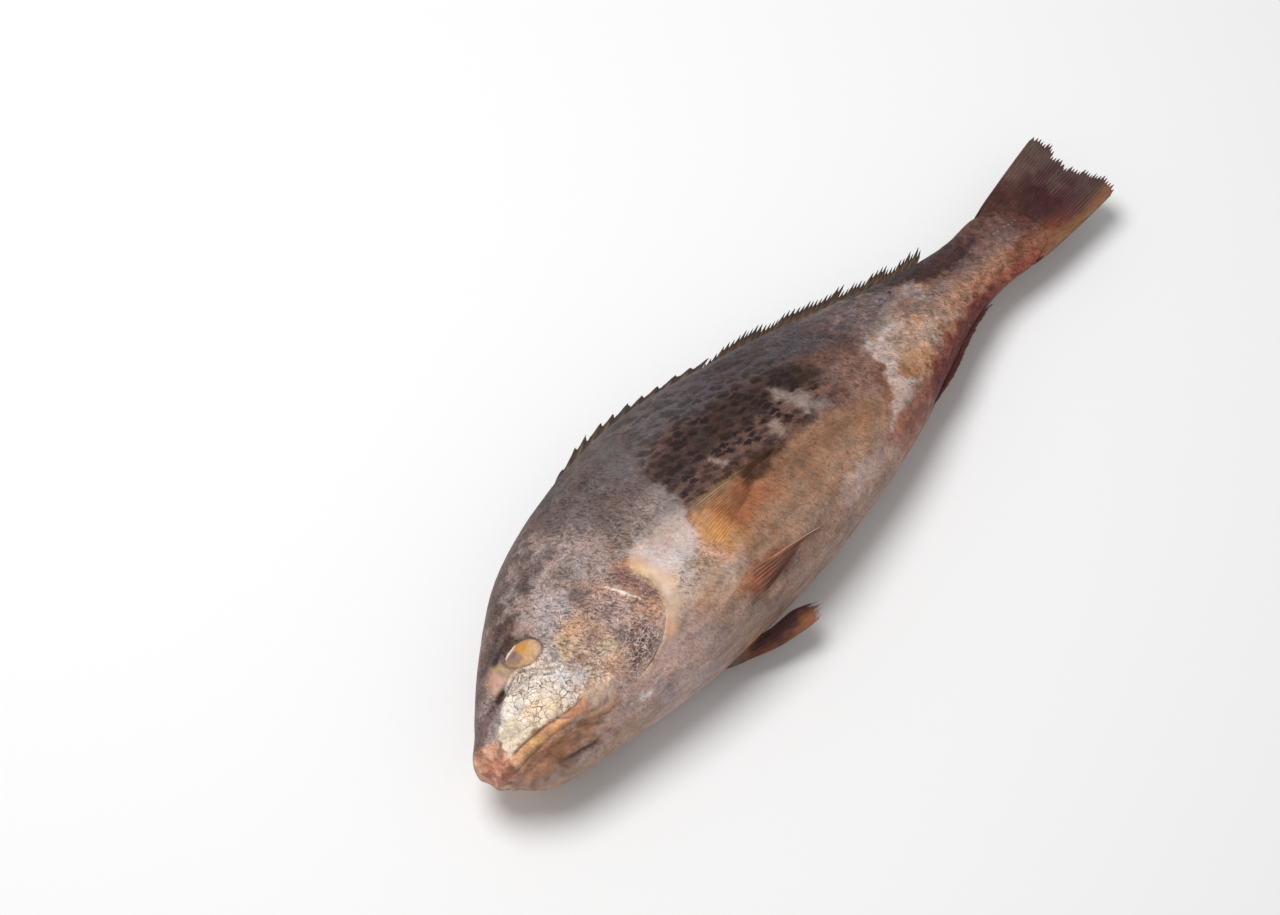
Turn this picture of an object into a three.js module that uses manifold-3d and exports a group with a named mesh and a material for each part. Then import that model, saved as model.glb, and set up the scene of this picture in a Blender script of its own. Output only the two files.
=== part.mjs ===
// Dried croaker: a whole fish dried until it is stiff, lying on its right flank.
// Millimetres. +X runs to the tail, +Y to the back and +Z up, out of the left flank.
// The origin is the middle of the flat spot on the right flank that the fish rests on.
import * as THREE from 'three';
import { mergeVertices } from 'three/addons/utils/BufferGeometryUtils.js';
import Module from 'manifold-3d';

// Body, measured from the snout along the fish, with heights over its own long axis.
const BODY_LENGTH = 302;
const REST_X = 110;
const SNOUT_ROUND = 15;
const SNOUT_HEIGHT = -3;
const BODY_STATIONS = [
  { x: 0, back: 5, belly: -10, halfWidth: 9 },
  { x: 12, back: 15.5, belly: -17, halfWidth: 14 },
  { x: 30, back: 29.3, belly: -23, halfWidth: 19 },
  { x: 55, back: 44, belly: -29, halfWidth: 24 },
  { x: 80, back: 51, belly: -34, halfWidth: 26.5 },
  { x: 105, back: 53, belly: -37, halfWidth: 27.5 },
  { x: 135, back: 51.5, belly: -38.5, halfWidth: 27 },
  { x: 170, back: 43.5, belly: -36.5, halfWidth: 22.5 },
  { x: 200, back: 34, belly: -31, halfWidth: 17 },
  { x: 225, back: 25.5, belly: -24, halfWidth: 12.5 },
  { x: 250, back: 18, belly: -16.5, halfWidth: 8.5 },
  { x: 272, back: 14.5, belly: -13.5, halfWidth: 5.3 },
  { x: 288, back: 15, belly: -13.8, halfWidth: 3.1 },
  { x: 302, back: 10.5, belly: -9, halfWidth: 0.9 },
];

// Sections: widest below half height, the lower half fuller than the upper, most of all at the throat.
const WIDEST_AT = 0.44;
const HEIGHT_POWER = 0.95;
const WIDTH_POWER = { back: 1, belly: 0.85, throat: 0.6, throatX: 90, throatSpread: 60 };

// The long axis bends to the belly behind mid body, and the middle plane sinks towards the tail.
const AXIS_DROP = { depth: 10.5, from: 120, at: 290 };
const MIDPLANE_HEIGHTS = [
  { x: 0, z: 24.5 },
  { x: 120, z: 25 },
  { x: 220, z: 22.5 },
  { x: 290, z: 19 },
  { x: 340, z: 17 },
];

// Head: eyes, mouth line and gill covers, the same on both flanks.
const EYE = { x: 37.5, y: 15.5, radius: 7.2, socketDepth: 2.6, rim: 0.25, ballRise: 3.4, ballShare: 0.85 };
const MOUTH = { frontX: 4, frontY: 1, cornerX: 39, cornerY: -13.5, depth: 2.4, width: 2.2 };
const GILL_COVER = { x: 50, y: -4, reach: 34, halfHeight: 21, rise: 2.2, edge: 0.08 };
const RELIEF_FADE = 0.5;

// Fins. Each blade tapers from its root to its tips and is pleated along its rays.
const BLADE_TAPER = 0.4;
const PLEAT = 0.35;
const TAIL = {
  rootX: 284, rootHalf: 13.5, tipX: 337, tipHalf: 19.8, tipNotch: 2.5, axisY: -10, flare: 0.6,
  thickness: 3.2, rays: 14, steps: 6,
};
const FIRST_DORSAL = {
  from: 92, to: 163, length: 23, lengthEnd: 12, slope: 0.42, thickness: 2.6, rays: 10, steps: 4,
};
const SECOND_DORSAL = {
  from: 166, to: 254, length: 17, lengthEnd: 15, slope: 0.62, thickness: 2.4, rays: 22, steps: 3,
};
const ANAL = {
  from: 197, to: 240, length: 26, lengthEnd: 18, slope: 0.2, thickness: 3, rays: 8, steps: 4,
};
const MIDDLE_FIN_SUNK = 2.5;
const MIDDLE_FIN_FRONT = { share: 0.18, lengthShare: 0.35 };
const PECTORAL = {
  topX: 111, topY: 3.5, lowX: 104, lowY: -12, length: 42, lengthLow: 20, shortening: 1.4,
  droop: 0.2, droopLow: 0.08, rays: 9, steps: 5,
};
const PELVIC = {
  innerX: 101, outerX: 107, innerY: -33.5, outerY: -26.5, length: 38, lengthInner: 27, droop: 0.12,
  spread: 13, rise: 6, rays: 6, steps: 4,
};
const PAIRED_THICKNESS = 2.4;
const PAIRED_SUNK = 0.8;

// Fineness of the body's mesh, closer together over the head.
const RINGS = 78;
const RING_POINTS = 40;
const HEAD_CROWDING = 0.35;
const SHORTEST_EDGE = 0.05;

const SKIN_COLOUR = 0x8f7564;

const wasm = await Module();
wasm.setup();

/** A smooth curve through one measure of a list of stations. */
function curveThrough(stations, measure) {
  const places = stations.map((station) => station.x);
  const values = stations.map((station) => station[measure]);
  const spline = new THREE.CubicInterpolant(places, values, 1);
  return (x) => spline.evaluate(x)[0];
}

const backLine = curveThrough(BODY_STATIONS, 'back');
const bellyLine = curveThrough(BODY_STATIONS, 'belly');
const widthLine = curveThrough(BODY_STATIONS, 'halfWidth');
const midplane = curveThrough(MIDPLANE_HEIGHTS, 'z');

/** How far the long axis bends towards the belly: nothing up to mid body, then a parabola. */
function axisDrop(x) {
  const along = Math.max(0, (x - AXIS_DROP.from) / (AXIS_DROP.at - AXIS_DROP.from));
  return -AXIS_DROP.depth * along ** 2;
}

/** Heights of back, belly and widest line, and half width, of the section at x; the snout ends round. */
function section(x) {
  const roundOff = Math.sqrt(1 - (1 - Math.min(x / SNOUT_ROUND, 1)) ** 2);
  const back = SNOUT_HEIGHT + (backLine(x) - SNOUT_HEIGHT) * roundOff;
  const belly = SNOUT_HEIGHT + (bellyLine(x) - SNOUT_HEIGHT) * roundOff;
  const widest = belly + WIDEST_AT * (back - belly);
  return { back, belly, widest, halfWidth: widthLine(x) * roundOff };
}

/** 0 below the first value, 1 above the second, and a smooth step between. */
function ramp(value, low, high) {
  return THREE.MathUtils.smoothstep(value, low, high);
}

/** Relief of the head over the smooth section: sunken eye with its ball, mouth slit, gill cover. */
function headRelief(x, y) {
  const fromEye = Math.hypot(x - EYE.x, y - EYE.y) / EYE.radius;
  const socket = -EYE.socketDepth * (1 - ramp(fromEye, 1 - EYE.rim, 1 + EYE.rim));
  const ball = EYE.ballRise * Math.sqrt(Math.max(0, 1 - (fromEye / EYE.ballShare) ** 2));
  const along = THREE.MathUtils.clamp((x - MOUTH.frontX) / (MOUTH.cornerX - MOUTH.frontX), 0, 1);
  const lineX = MOUTH.frontX + along * (MOUTH.cornerX - MOUTH.frontX);
  const lineY = MOUTH.frontY + along * (MOUTH.cornerY - MOUTH.frontY);
  const fromMouth = Math.hypot(x - lineX, y - lineY) / MOUTH.width;
  const mouth = -MOUTH.depth * Math.exp(-(fromMouth ** 2));
  const { reach, halfHeight, rise, edge } = GILL_COVER;
  const fromCover = Math.hypot((x - GILL_COVER.x) / reach, (y - GILL_COVER.y) / halfHeight);
  const inCover = 1 - ramp(fromCover, 1 - edge, 1 + edge);
  const cover = rise * inCover * ramp(x, GILL_COVER.x - reach, GILL_COVER.x + reach / 2);
  return socket + ball + mouth + cover;
}

/** A point of the skin: x along the fish, turn around it from the left flank over the back. */
function skin(x, turn, lift = 0) {
  const { back, belly, widest, halfWidth } = section(x);
  const up = Math.sin(turn);
  const side = Math.cos(turn);
  const half = up >= 0 ? back - widest : widest - belly;
  const atThroat = Math.exp(-(((x - WIDTH_POWER.throatX) / WIDTH_POWER.throatSpread) ** 2));
  const bellyPower = THREE.MathUtils.lerp(WIDTH_POWER.belly, WIDTH_POWER.throat, atThroat);
  const power = up >= 0 ? WIDTH_POWER.back : bellyPower;
  const height = half * Math.sign(up) * Math.abs(up) ** HEIGHT_POWER;
  const out = halfWidth * Math.sign(side) * Math.abs(side) ** power;
  const normal = new THREE.Vector2(height / half ** 2, out / halfWidth ** 2).normalize();
  const raised = lift + headRelief(x, widest + height) * Math.min(1, Math.abs(side) / RELIEF_FADE);
  return new THREE.Vector3(
    x - REST_X,
    axisDrop(x) + widest + height + normal.x * raised,
    midplane(x) + out + normal.y * raised,
  );
}

/** The turn at which the skin of one flank reaches height y at x; side is 1 for left, -1 for right. */
function turnAt(x, y, side = 1) {
  const { back, belly, widest } = section(x);
  const half = y >= widest ? back - widest : widest - belly;
  const up = THREE.MathUtils.clamp((y - widest) / half, -1, 1);
  const turn = Math.sign(up) * Math.asin(Math.abs(up) ** (1 / HEIGHT_POWER));
  return side > 0 ? turn : Math.PI - turn;
}

/** Closed geometry from points and triangles. */
function closedGeometry(points, triangles) {
  const geometry = new THREE.BufferGeometry();
  geometry.setFromPoints(points);
  geometry.setIndex(triangles.flat());
  return geometry;
}

/** The bare body: rings of skin from the snout's tip to a small end inside the tail fin. */
function bodyGeometry() {
  const points = [new THREE.Vector3(-REST_X, SNOUT_HEIGHT, midplane(0))];
  const triangles = [];
  for (let ring = 1; ring <= RINGS; ring += 1) {
    const part = ring / RINGS;
    const x = BODY_LENGTH * (HEAD_CROWDING * part ** 2 + (1 - HEAD_CROWDING) * part);
    for (let step = 0; step < RING_POINTS; step += 1) {
      points.push(skin(x, (2 * Math.PI * step) / RING_POINTS));
    }
  }
  const end = points.length;
  points.push(new THREE.Vector3(BODY_LENGTH - REST_X, axisDrop(BODY_LENGTH), midplane(BODY_LENGTH)));
  for (let step = 0; step < RING_POINTS; step += 1) {
    const next = (step + 1) % RING_POINTS;
    triangles.push([0, 1 + step, 1 + next]);
    triangles.push([end, end - RING_POINTS + next, end - RING_POINTS + step]);
    for (let ring = 0; ring < RINGS - 1; ring += 1) {
      const here = 1 + ring * RING_POINTS;
      const there = here + RING_POINTS;
      triangles.push([here + step, there + step, there + next]);
      triangles.push([here + step, there + next, here + next]);
    }
  }
  return closedGeometry(points, triangles);
}

/**
 * A fin blade: place(s, r) gives its middle surface, s across the rays and r from root to tips.
 * Both faces share one grid, set apart along the blade's own normal, and a rim closes them.
 */
function bladeGeometry(place, thickness, rays, steps) {
  const columns = 2 * rays;
  const across = place(1, 0.5).sub(place(0, 0.5));
  const along = place(0.5, 1).sub(place(0.5, 0));
  const normal = across.cross(along).normalize();
  const points = [];
  const triangles = [];
  for (const side of [1, -1]) {
    for (let column = 0; column <= columns; column += 1) {
      for (let step = 0; step <= steps; step += 1) {
        const r = step / steps;
        const pleat = (column % 2 ? -PLEAT : PLEAT) * r;
        const half = (thickness / 2) * (1 - BLADE_TAPER * r);
        points.push(place(column / columns, r).addScaledVector(normal, side * half + pleat));
      }
    }
  }
  const row = steps + 1;
  const back = row * (columns + 1);
  const quad = (a, b, c, d) => triangles.push([a, b, c], [a, c, d]);
  for (let column = 0; column < columns; column += 1) {
    for (let step = 0; step < steps; step += 1) {
      const a = column * row + step;
      quad(a, a + row, a + row + 1, a + 1);
      quad(back + a, back + a + 1, back + a + row + 1, back + a + row);
    }
    const root = column * row;
    quad(root, back + root, back + root + row, root + row);
    const tip = root + steps;
    quad(tip, tip + row, back + tip + row, back + tip);
  }
  const last = columns * row;
  for (let step = 0; step < steps; step += 1) {
    quad(step, step + 1, back + step + 1, back + step);
    quad(last + step, back + last + step, back + last + step + 1, last + step + 1);
  }
  return closedGeometry(points, triangles);
}

/** The tail fin: rays fan out from the tail's root to a rear edge a little hollow in the middle. */
function tailGeometry() {
  const place = (s, r) => {
    const across = 2 * s - 1;
    const tipX = TAIL.tipX - TAIL.tipNotch * (1 - across ** 2);
    const x = TAIL.rootX + (tipX - TAIL.rootX) * r;
    const half = TAIL.rootHalf + (TAIL.tipHalf - TAIL.rootHalf) * r ** TAIL.flare;
    return new THREE.Vector3(x - REST_X, TAIL.axisY + across * half, midplane(x));
  };
  return bladeGeometry(place, TAIL.thickness, TAIL.rays, TAIL.steps);
}

/** A fin on the fish's middle line, folded back: turn is the back's or the belly's. */
function middleFinGeometry(fin, turn) {
  const upwards = Math.sign(Math.sin(turn));
  const lean = Math.atan(fin.slope);
  const place = (s, r) => {
    const x = THREE.MathUtils.lerp(fin.from, fin.to, s);
    const front = Math.sqrt(Math.min(1, s / MIDDLE_FIN_FRONT.share));
    const rounded = THREE.MathUtils.lerp(MIDDLE_FIN_FRONT.lengthShare, 1, front);
    const length = THREE.MathUtils.lerp(fin.length, fin.lengthEnd, s) * rounded + MIDDLE_FIN_SUNK;
    const along = Math.min(x + length * r * Math.cos(lean), BODY_LENGTH);
    const point = skin(along, turn, -MIDDLE_FIN_SUNK);
    point.y += upwards * length * r * Math.sin(lean);
    return point;
  };
  return bladeGeometry(place, fin.thickness, fin.rays, fin.steps);
}

/** How high a paired fin's middle surface lies over the skin when its inner face is sunk into it. */
function lyingLift(r) {
  return (PAIRED_THICKNESS / 2) * (1 - BLADE_TAPER * r) - PAIRED_SUNK;
}

/** The left pectoral fin, lying back against the flank. */
function pectoralGeometry() {
  const place = (s, r) => {
    const length = THREE.MathUtils.lerp(PECTORAL.length, PECTORAL.lengthLow, s ** PECTORAL.shortening);
    const droop = THREE.MathUtils.lerp(PECTORAL.droop, PECTORAL.droopLow, s);
    const x = THREE.MathUtils.lerp(PECTORAL.topX, PECTORAL.lowX, s) + length * r;
    const y = THREE.MathUtils.lerp(PECTORAL.topY, PECTORAL.lowY, s) - droop * length * r;
    return skin(x, turnAt(x, y), lyingLift(r));
  };
  return bladeGeometry(place, PAIRED_THICKNESS, PECTORAL.rays, PECTORAL.steps);
}

/** A pelvic fin: the left one (side 1) lies on the belly, the right one (side -1) stands out from it. */
function pelvicGeometry(side) {
  const standing = side > 0 ? 0 : 1;
  const place = (s, r) => {
    const length = THREE.MathUtils.lerp(PELVIC.length, PELVIC.lengthInner, s);
    const x = THREE.MathUtils.lerp(PELVIC.outerX, PELVIC.innerX, s) + length * r;
    const y = THREE.MathUtils.lerp(PELVIC.outerY, PELVIC.innerY, s) - PELVIC.droop * length * r;
    const point = skin(x, turnAt(x, y, side), lyingLift(r));
    point.y -= standing * PELVIC.spread * r;
    point.z += standing * PELVIC.rise * r;
    return point;
  };
  return bladeGeometry(place, PAIRED_THICKNESS, PELVIC.rays, PELVIC.steps);
}

/** A solid from a closed geometry. */
function toSolid(geometry) {
  const bare = geometry.clone();
  bare.deleteAttribute('normal');
  bare.deleteAttribute('uv');
  const merged = mergeVertices(bare, 1e-4);
  const mesh = new wasm.Mesh({
    numProp: 3,
    vertProperties: new Float32Array(merged.attributes.position.array),
    triVerts: new Uint32Array(merged.index.array),
  });
  return new wasm.Manifold(mesh);
}

/** A geometry from a solid. */
function toGeometry(solid) {
  const mesh = solid.getMesh();
  const geometry = new THREE.BufferGeometry();
  geometry.setAttribute('position', new THREE.BufferAttribute(new Float32Array(mesh.vertProperties), 3));
  geometry.setIndex(new THREE.BufferAttribute(new Uint32Array(mesh.triVerts), 1));
  geometry.computeVertexNormals();
  return geometry;
}

/** The fish in one piece, cut off flat where it rests. */
function croakerGeometry() {
  const fins = [
    tailGeometry(),
    middleFinGeometry(FIRST_DORSAL, Math.PI / 2),
    middleFinGeometry(SECOND_DORSAL, Math.PI / 2),
    middleFinGeometry(ANAL, -Math.PI / 2),
    pectoralGeometry(),
    pelvicGeometry(1),
    pelvicGeometry(-1),
  ];
  const aboveRest = new THREE.BoxGeometry(2 * BODY_LENGTH, BODY_LENGTH, BODY_LENGTH);
  aboveRest.translate(0, 0, BODY_LENGTH / 2);
  let fish = toSolid(bodyGeometry());
  for (const fin of fins) {
    fish = fish.add(toSolid(fin));
  }
  const resting = fish.intersect(toSolid(aboveRest)).simplify(SHORTEST_EDGE);
  return toGeometry(resting);
}

const drySkin = new THREE.MeshStandardMaterial({ color: SKIN_COLOUR, roughness: 0.55, metalness: 0 });
const croaker = new THREE.Mesh(croakerGeometry(), drySkin);
croaker.name = 'croaker';

const part = new THREE.Group();
part.add(croaker);

export default part;
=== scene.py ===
import bpy
import numpy as np
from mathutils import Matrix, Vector


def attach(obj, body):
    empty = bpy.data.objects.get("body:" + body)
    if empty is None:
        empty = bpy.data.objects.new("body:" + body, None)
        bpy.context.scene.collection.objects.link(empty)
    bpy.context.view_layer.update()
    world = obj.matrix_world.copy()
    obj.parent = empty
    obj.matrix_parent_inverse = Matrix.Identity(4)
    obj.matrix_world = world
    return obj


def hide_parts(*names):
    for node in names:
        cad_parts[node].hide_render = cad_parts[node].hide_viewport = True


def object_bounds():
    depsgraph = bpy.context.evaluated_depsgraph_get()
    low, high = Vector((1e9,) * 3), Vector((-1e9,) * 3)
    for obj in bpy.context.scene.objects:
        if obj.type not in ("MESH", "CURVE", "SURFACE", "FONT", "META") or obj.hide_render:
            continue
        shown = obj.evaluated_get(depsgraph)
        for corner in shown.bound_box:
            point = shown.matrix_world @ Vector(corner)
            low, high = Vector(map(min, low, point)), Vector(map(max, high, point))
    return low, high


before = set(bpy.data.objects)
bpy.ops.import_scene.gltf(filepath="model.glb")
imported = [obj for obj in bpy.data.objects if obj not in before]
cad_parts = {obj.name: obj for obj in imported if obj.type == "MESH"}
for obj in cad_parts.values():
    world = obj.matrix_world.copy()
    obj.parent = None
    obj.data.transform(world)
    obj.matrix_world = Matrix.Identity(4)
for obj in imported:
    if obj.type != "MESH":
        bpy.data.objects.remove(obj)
cad_box = [list(corner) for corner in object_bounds()]

# Body: the whole skin from the snout to the root of the tail, dried tight over flesh and skull.
# It is scaled on the trunk and bare on the head, bleached by salt bloom, and pressed flat where it
# lies. Sizes are millimetres: x from the snout, y up from the long axis to the back.
MM = 0.001
SNOUT_X = cad_box[0][0] / MM
BODY_LENGTH = 302
SNOUT_ROUND = 15
SNOUT_HEIGHT = -3
STATIONS = np.array([
    # x, back, belly, half width
    (0, 5, -10, 9),
    (12, 15.5, -17, 14),
    (30, 29.3, -23, 19),
    (55, 44, -29, 24),
    (80, 51, -34, 26.5),
    (105, 53, -37, 27.5),
    (135, 51.5, -38.5, 27),
    (170, 43.5, -36.5, 22.5),
    (200, 34, -31, 17),
    (225, 25.5, -24, 12.5),
    (250, 18, -16.5, 8.5),
    (272, 14.5, -13.5, 5.3),
    (288, 15, -13.8, 3.1),
    (302, 10.5, -9, 0.1),
])
WIDEST_AT = 0.44
HEIGHT_POWER = 0.95
BELLY_POWER = 0.85
THROAT_POWER = 0.6
THROAT_X, THROAT_SPREAD = 90, 60
AXIS_DROP, DROP_FROM, DROP_AT = 10.5, 120, 290
MIDPLANE = np.array([(0, 24.5), (120, 25), (220, 22.5), (290, 19), (340, 17)])
STEP_ALONG, STEP_AROUND, SNOUT_TIP_X = 0.05, 0.004, 0.001


def curve(x, stations, column=1):
    """A smooth curve through one column of stations: cubic pieces, each station's slope being that
    between its two neighbours."""
    places, values = stations[:, 0], stations[:, column]
    rises = np.diff(values) / np.diff(places)
    inner = (values[2:] - values[:-2]) / (places[2:] - places[:-2])
    slopes = np.concatenate([rises[:1], inner, rises[-1:]])
    at = np.clip(np.searchsorted(places, x, side="right") - 1, 0, len(places) - 2)
    span = places[at + 1] - places[at]
    t = (x - places[at]) / span
    ahead = t * t * (3 - 2 * t)
    bow = span * t * (1 - t) * (slopes[at] * (1 - t) - slopes[at + 1] * t)
    return values[at] * (1 - ahead) + values[at + 1] * ahead + bow


def ramp(value, low, high):
    """0 at low, 1 at high, and a smooth step between them."""
    t = np.clip((value - low) / (high - low), 0, 1)
    return t * t * (3 - 2 * t)


def bell(value, width):
    """1 at nothing, falling off to both sides as a bell curve of that width."""
    return np.exp(-((value / width) ** 2))


def section(x):
    """Back, belly, widest height and half width of the body at x: the stations' curves, drawn in to
    the snout's tip by a quarter circle."""
    rounding = np.sqrt(1 - (1 - np.clip(x / SNOUT_ROUND, 0, 1)) ** 2)
    back = SNOUT_HEIGHT + (curve(x, STATIONS, 1) - SNOUT_HEIGHT) * rounding
    belly = SNOUT_HEIGHT + (curve(x, STATIONS, 2) - SNOUT_HEIGHT) * rounding
    widest = belly + WIDEST_AT * (back - belly)
    return back, belly, widest, curve(x, STATIONS, 3) * rounding


def belly_power(x):
    """How full the lower half of a section is: a power of the cosine, smallest at the throat."""
    return BELLY_POWER + (THROAT_POWER - BELLY_POWER) * bell(x - THROAT_X, THROAT_SPREAD)


def axis_drop(x):
    """How far the long axis bends towards the belly: nothing up to mid body, then a parabola."""
    return -AXIS_DROP * np.maximum(0, (x - DROP_FROM) / (DROP_AT - DROP_FROM)) ** 2


def flank_height(x, turn):
    """Height y of the skin at a turn around the body: a power of the sine, to the back or the belly."""
    back, belly, widest, _ = section(x)
    up = np.sin(turn)
    half = np.where(up >= 0, back - widest, widest - belly)
    return widest + half * np.sign(up) * np.abs(up) ** HEIGHT_POWER


def skin(x, turn):
    """The smooth skin: turn goes from the left flank over the back to the right one, and the point lies
    off the middle plane by a power of the turn's cosine times the half width."""
    side = np.cos(turn)
    power = np.where(np.sin(turn) >= 0, 1, belly_power(x))
    out = section(x)[3] * np.sign(side) * np.abs(side) ** power
    along = SNOUT_X + x + 0 * turn
    return np.stack([along, axis_drop(x) + flank_height(x, turn), curve(x, MIDPLANE) + out], axis=-1)


def skin_normal(x, turn):
    """Outward direction of the smooth skin: square to its slopes along the body and around it."""
    along = skin(x + STEP_ALONG, turn) - skin(np.maximum(x - STEP_ALONG, SNOUT_TIP_X), turn)
    around = skin(x, turn + STEP_AROUND) - skin(x, turn - STEP_AROUND)
    normal = np.cross(along, around)
    return normal / np.maximum(np.linalg.norm(normal, axis=-1, keepdims=True), 1e-9)


def turn_at(x, y, side=1):
    """The turn at which one flank (left 1, right -1) reaches height y: flank_height solved backwards."""
    back, belly, widest, _ = section(x)
    up = np.clip((y - widest) / np.where(y >= widest, back - widest, widest - belly), -1, 1)
    turn = np.sign(up) * np.arcsin(np.abs(up) ** (1 / HEIGHT_POWER))
    return turn if side > 0 else np.pi - turn


def cell_value(cells, seed):
    """A repeatable number from 0 to 1 for each cell of a lattice: its indices with their bits mixed."""
    keys = np.array([0x9E3779B1, 0x85EBCA77, 0xC2B2AE3D], np.uint32)
    mixed = np.bitwise_xor.reduce(cells.astype(np.int64).astype(np.uint32) * keys, axis=-1)
    mixed = mixed ^ np.uint32((seed + 1) * 0x27D4EB2F & 0xFFFFFFFF)
    for shift, key in ((15, 0x2C1B3C6D), (12, 0x297A2D39)):
        mixed = (mixed ^ (mixed >> np.uint32(shift))) * np.uint32(key)
    return (mixed ^ (mixed >> np.uint32(15))) / 2.0**32


def noise(place, size, seed):
    """Smooth noise from -1 to 1: random values at lattice corners that far apart, eased between."""
    spot = place / size
    cell = np.floor(spot).astype(np.int64)
    t = spot - cell
    t = t * t * t * (t * (t * 6 - 15) + 10)
    total = np.zeros(spot.shape[:-1])
    for corner in np.ndindex(2, 2, 2):
        weight = np.prod(np.where(np.array(corner) == 1, t, 1 - t), axis=-1)
        total += weight * cell_value(cell + np.array(corner), seed)
    return 2 * total - 1


def fractal(place, size, seed, layers=4):
    """Noise upon noise: each layer is half as large and half as strong as the one before."""
    return sum(noise(place, size / 2**layer, seed + layer) / 2**layer for layer in range(layers))


def cracks(place, size, seed):
    """How far off the nearest crack of a dried film is, in cells: the distances to the two nearest of
    points strewn one to a lattice cell, the one taken from the other."""
    spot = place / size
    cell = np.floor(spot).astype(np.int64)
    nearest = np.full(spot.shape[:-1], 9.0)
    second = nearest.copy()
    for corner in np.ndindex(3, 3, 3):
        other = cell + np.array(corner) - 1
        strewn = np.stack([cell_value(other, seed + n) for n in range(3)], axis=-1)
        away = np.linalg.norm(spot - other - strewn, axis=-1)
        second = np.minimum(second, np.maximum(nearest, away))
        nearest = np.minimum(nearest, away)
    return second - nearest


def line_away(x, y, corners):
    """How far places on the flank are from a bent line, and their share along it, from 0 to 1."""
    corners = np.array(corners, float)
    spans = np.hypot(*np.diff(corners, axis=0).T)
    starts = np.concatenate([[0], np.cumsum(spans)])
    nearest = np.full(np.shape(x), np.inf)
    share = np.zeros(np.shape(x))
    for (ax, ay), (bx, by), span, start in zip(corners[:-1], corners[1:], spans, starts):
        t = np.clip(((x - ax) * (bx - ax) + (y - ay) * (by - ay)) / span**2, 0, 1)
        away = np.hypot(x - ax - t * (bx - ax), y - ay - t * (by - ay))
        share = np.where(away < nearest, (start + t * span) / starts[-1], share)
        nearest = np.minimum(nearest, away)
    return nearest, share


def oval_away(x, y, oval):
    """Distance from an oval's middle, 1 on its rim; oval is x, y, half length, half height and lean."""
    middle_x, middle_y, half_length, half_height, lean = oval
    cos, sin = np.cos(np.radians(lean)), np.sin(np.radians(lean))
    along = (x - middle_x) * cos + (y - middle_y) * sin
    across = (y - middle_y) * cos - (x - middle_x) * sin
    return np.hypot(along / half_length, across / half_height)


def outside(x, y, corners):
    """How far places are outside a many-cornered outline, less than nothing inside it: the distance from
    its edge, with the sign of whether a ray crosses the edge an odd number of times."""
    loop = np.array([*corners, corners[0]], float)
    away, _ = line_away(x, y, loop)
    within = np.zeros(np.shape(x), bool)
    for (ax, ay), (bx, by) in zip(loop[:-1], loop[1:]):
        slope = (bx - ax) / (by - ay if by != ay else 1e-9)
        within ^= ((ay > y) != (by > y)) & (x < ax + slope * (y - ay))
    return np.where(within, -away, away)


def field(x, y, corners, soft):
    """1 inside an outline and 0 outside it, with a smooth step that far to each side of its edge."""
    return ramp(outside(x, y, corners), soft, -soft)


SCALE_LENGTH, SCALE_ROW, SCALE_RADIUS = 4.1, 2.2, 3.0


def scales(x, girth, seed=40):
    """Scales like roof tiles: discs in staggered rows, of which the foremost that covers a place shows.
    Returns how far back on its scale a place is, from 0 to 1."""
    row = np.floor(girth / SCALE_ROW)
    front = np.full(np.shape(x), np.inf)
    back_share = np.zeros(np.shape(x))
    for row_step, place_step in np.ndindex(4, 4):
        this_row = row + row_step - 1
        stagger = 0.5 * (this_row % 2)
        place = np.floor(x / SCALE_LENGTH - stagger) + place_step - 2
        value = cell_value(np.stack([place, this_row, 0 * place], axis=-1), seed)
        centre = (place + stagger + 0.5 + 0.16 * (value - 0.5)) * SCALE_LENGTH
        off = girth - (this_row + 0.5) * SCALE_ROW
        covers = (np.hypot(x - centre, off) < SCALE_RADIUS * (0.95 + 0.1 * value)) & (centre < front)
        back_share = np.where(covers, 0.5 + 0.5 * (x - centre) / SCALE_RADIUS, back_share)
        front = np.where(covers, centre, front)
    return back_share


def colour(red, green, blue):
    """A tone given in screen values up to 255, as linear light."""
    share = np.array([red, green, blue]) / 255
    return np.where(share <= 0.04045, share / 12.92, ((share + 0.055) / 1.055) ** 2.4)


def over(tint, tone, cover):
    """A tone laid over what is there, as densely as cover says, from 0 to 1."""
    return tint + (tone - tint) * np.clip(cover, 0, 1)[..., None]


EYE = (38.3, 15.5, 6.6, 4.75, -36)
EYE_DEPTH, EYE_TOP = 2.6, 20.7
# Where the brow's shadow is painted as a dark line over the top of the eye.
BROW_SHADOW_LINE = [(29.5, 20.2), (32.6, 21.6), (36, 21.8), (39.8, 21.5), (43.4, 18.9)]
BROW = [(25, 19), (30, 22), (35, 22.6), (41, 22.6), (46, 20.5), (48, 18)]
EYE_FOLD = (30.7, 17.2, 1.7, 4.6, 4)
NOSTRIL = (22.8, 12.5, 2.7, 1.5, 8)
FRONT_NOSTRIL = (18.6, 12.4, 0.8, 0.6, 0)
CHEEK = [(10.5, -3.3), (10.8, 3.5), (13, 5), (17, 6.8), (19.5, 9), (25, 10.4), (30, 12.4), (36, 10.4),
         (41, 10.6), (46, 12), (47.5, 7), (44, 3), (46.5, -3), (47, -9), (43, -10.6), (39, -10.2),
         (33, -9.4), (28, -7.9), (24, -6.4), (19, -5.2), (14, -4.2)]
CHEEK_LINES = [
    [(20, 10.6), (25, 11.2), (30, 12.2), (33, 11.6), (36, 8.4), (38.5, 4.6), (41.5, 1.6)],
    [(24, 9.8), (28, 9.2), (32, 8.2), (34.6, 7.4), (36.4, 4.4), (39, 1.8)],
]
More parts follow.
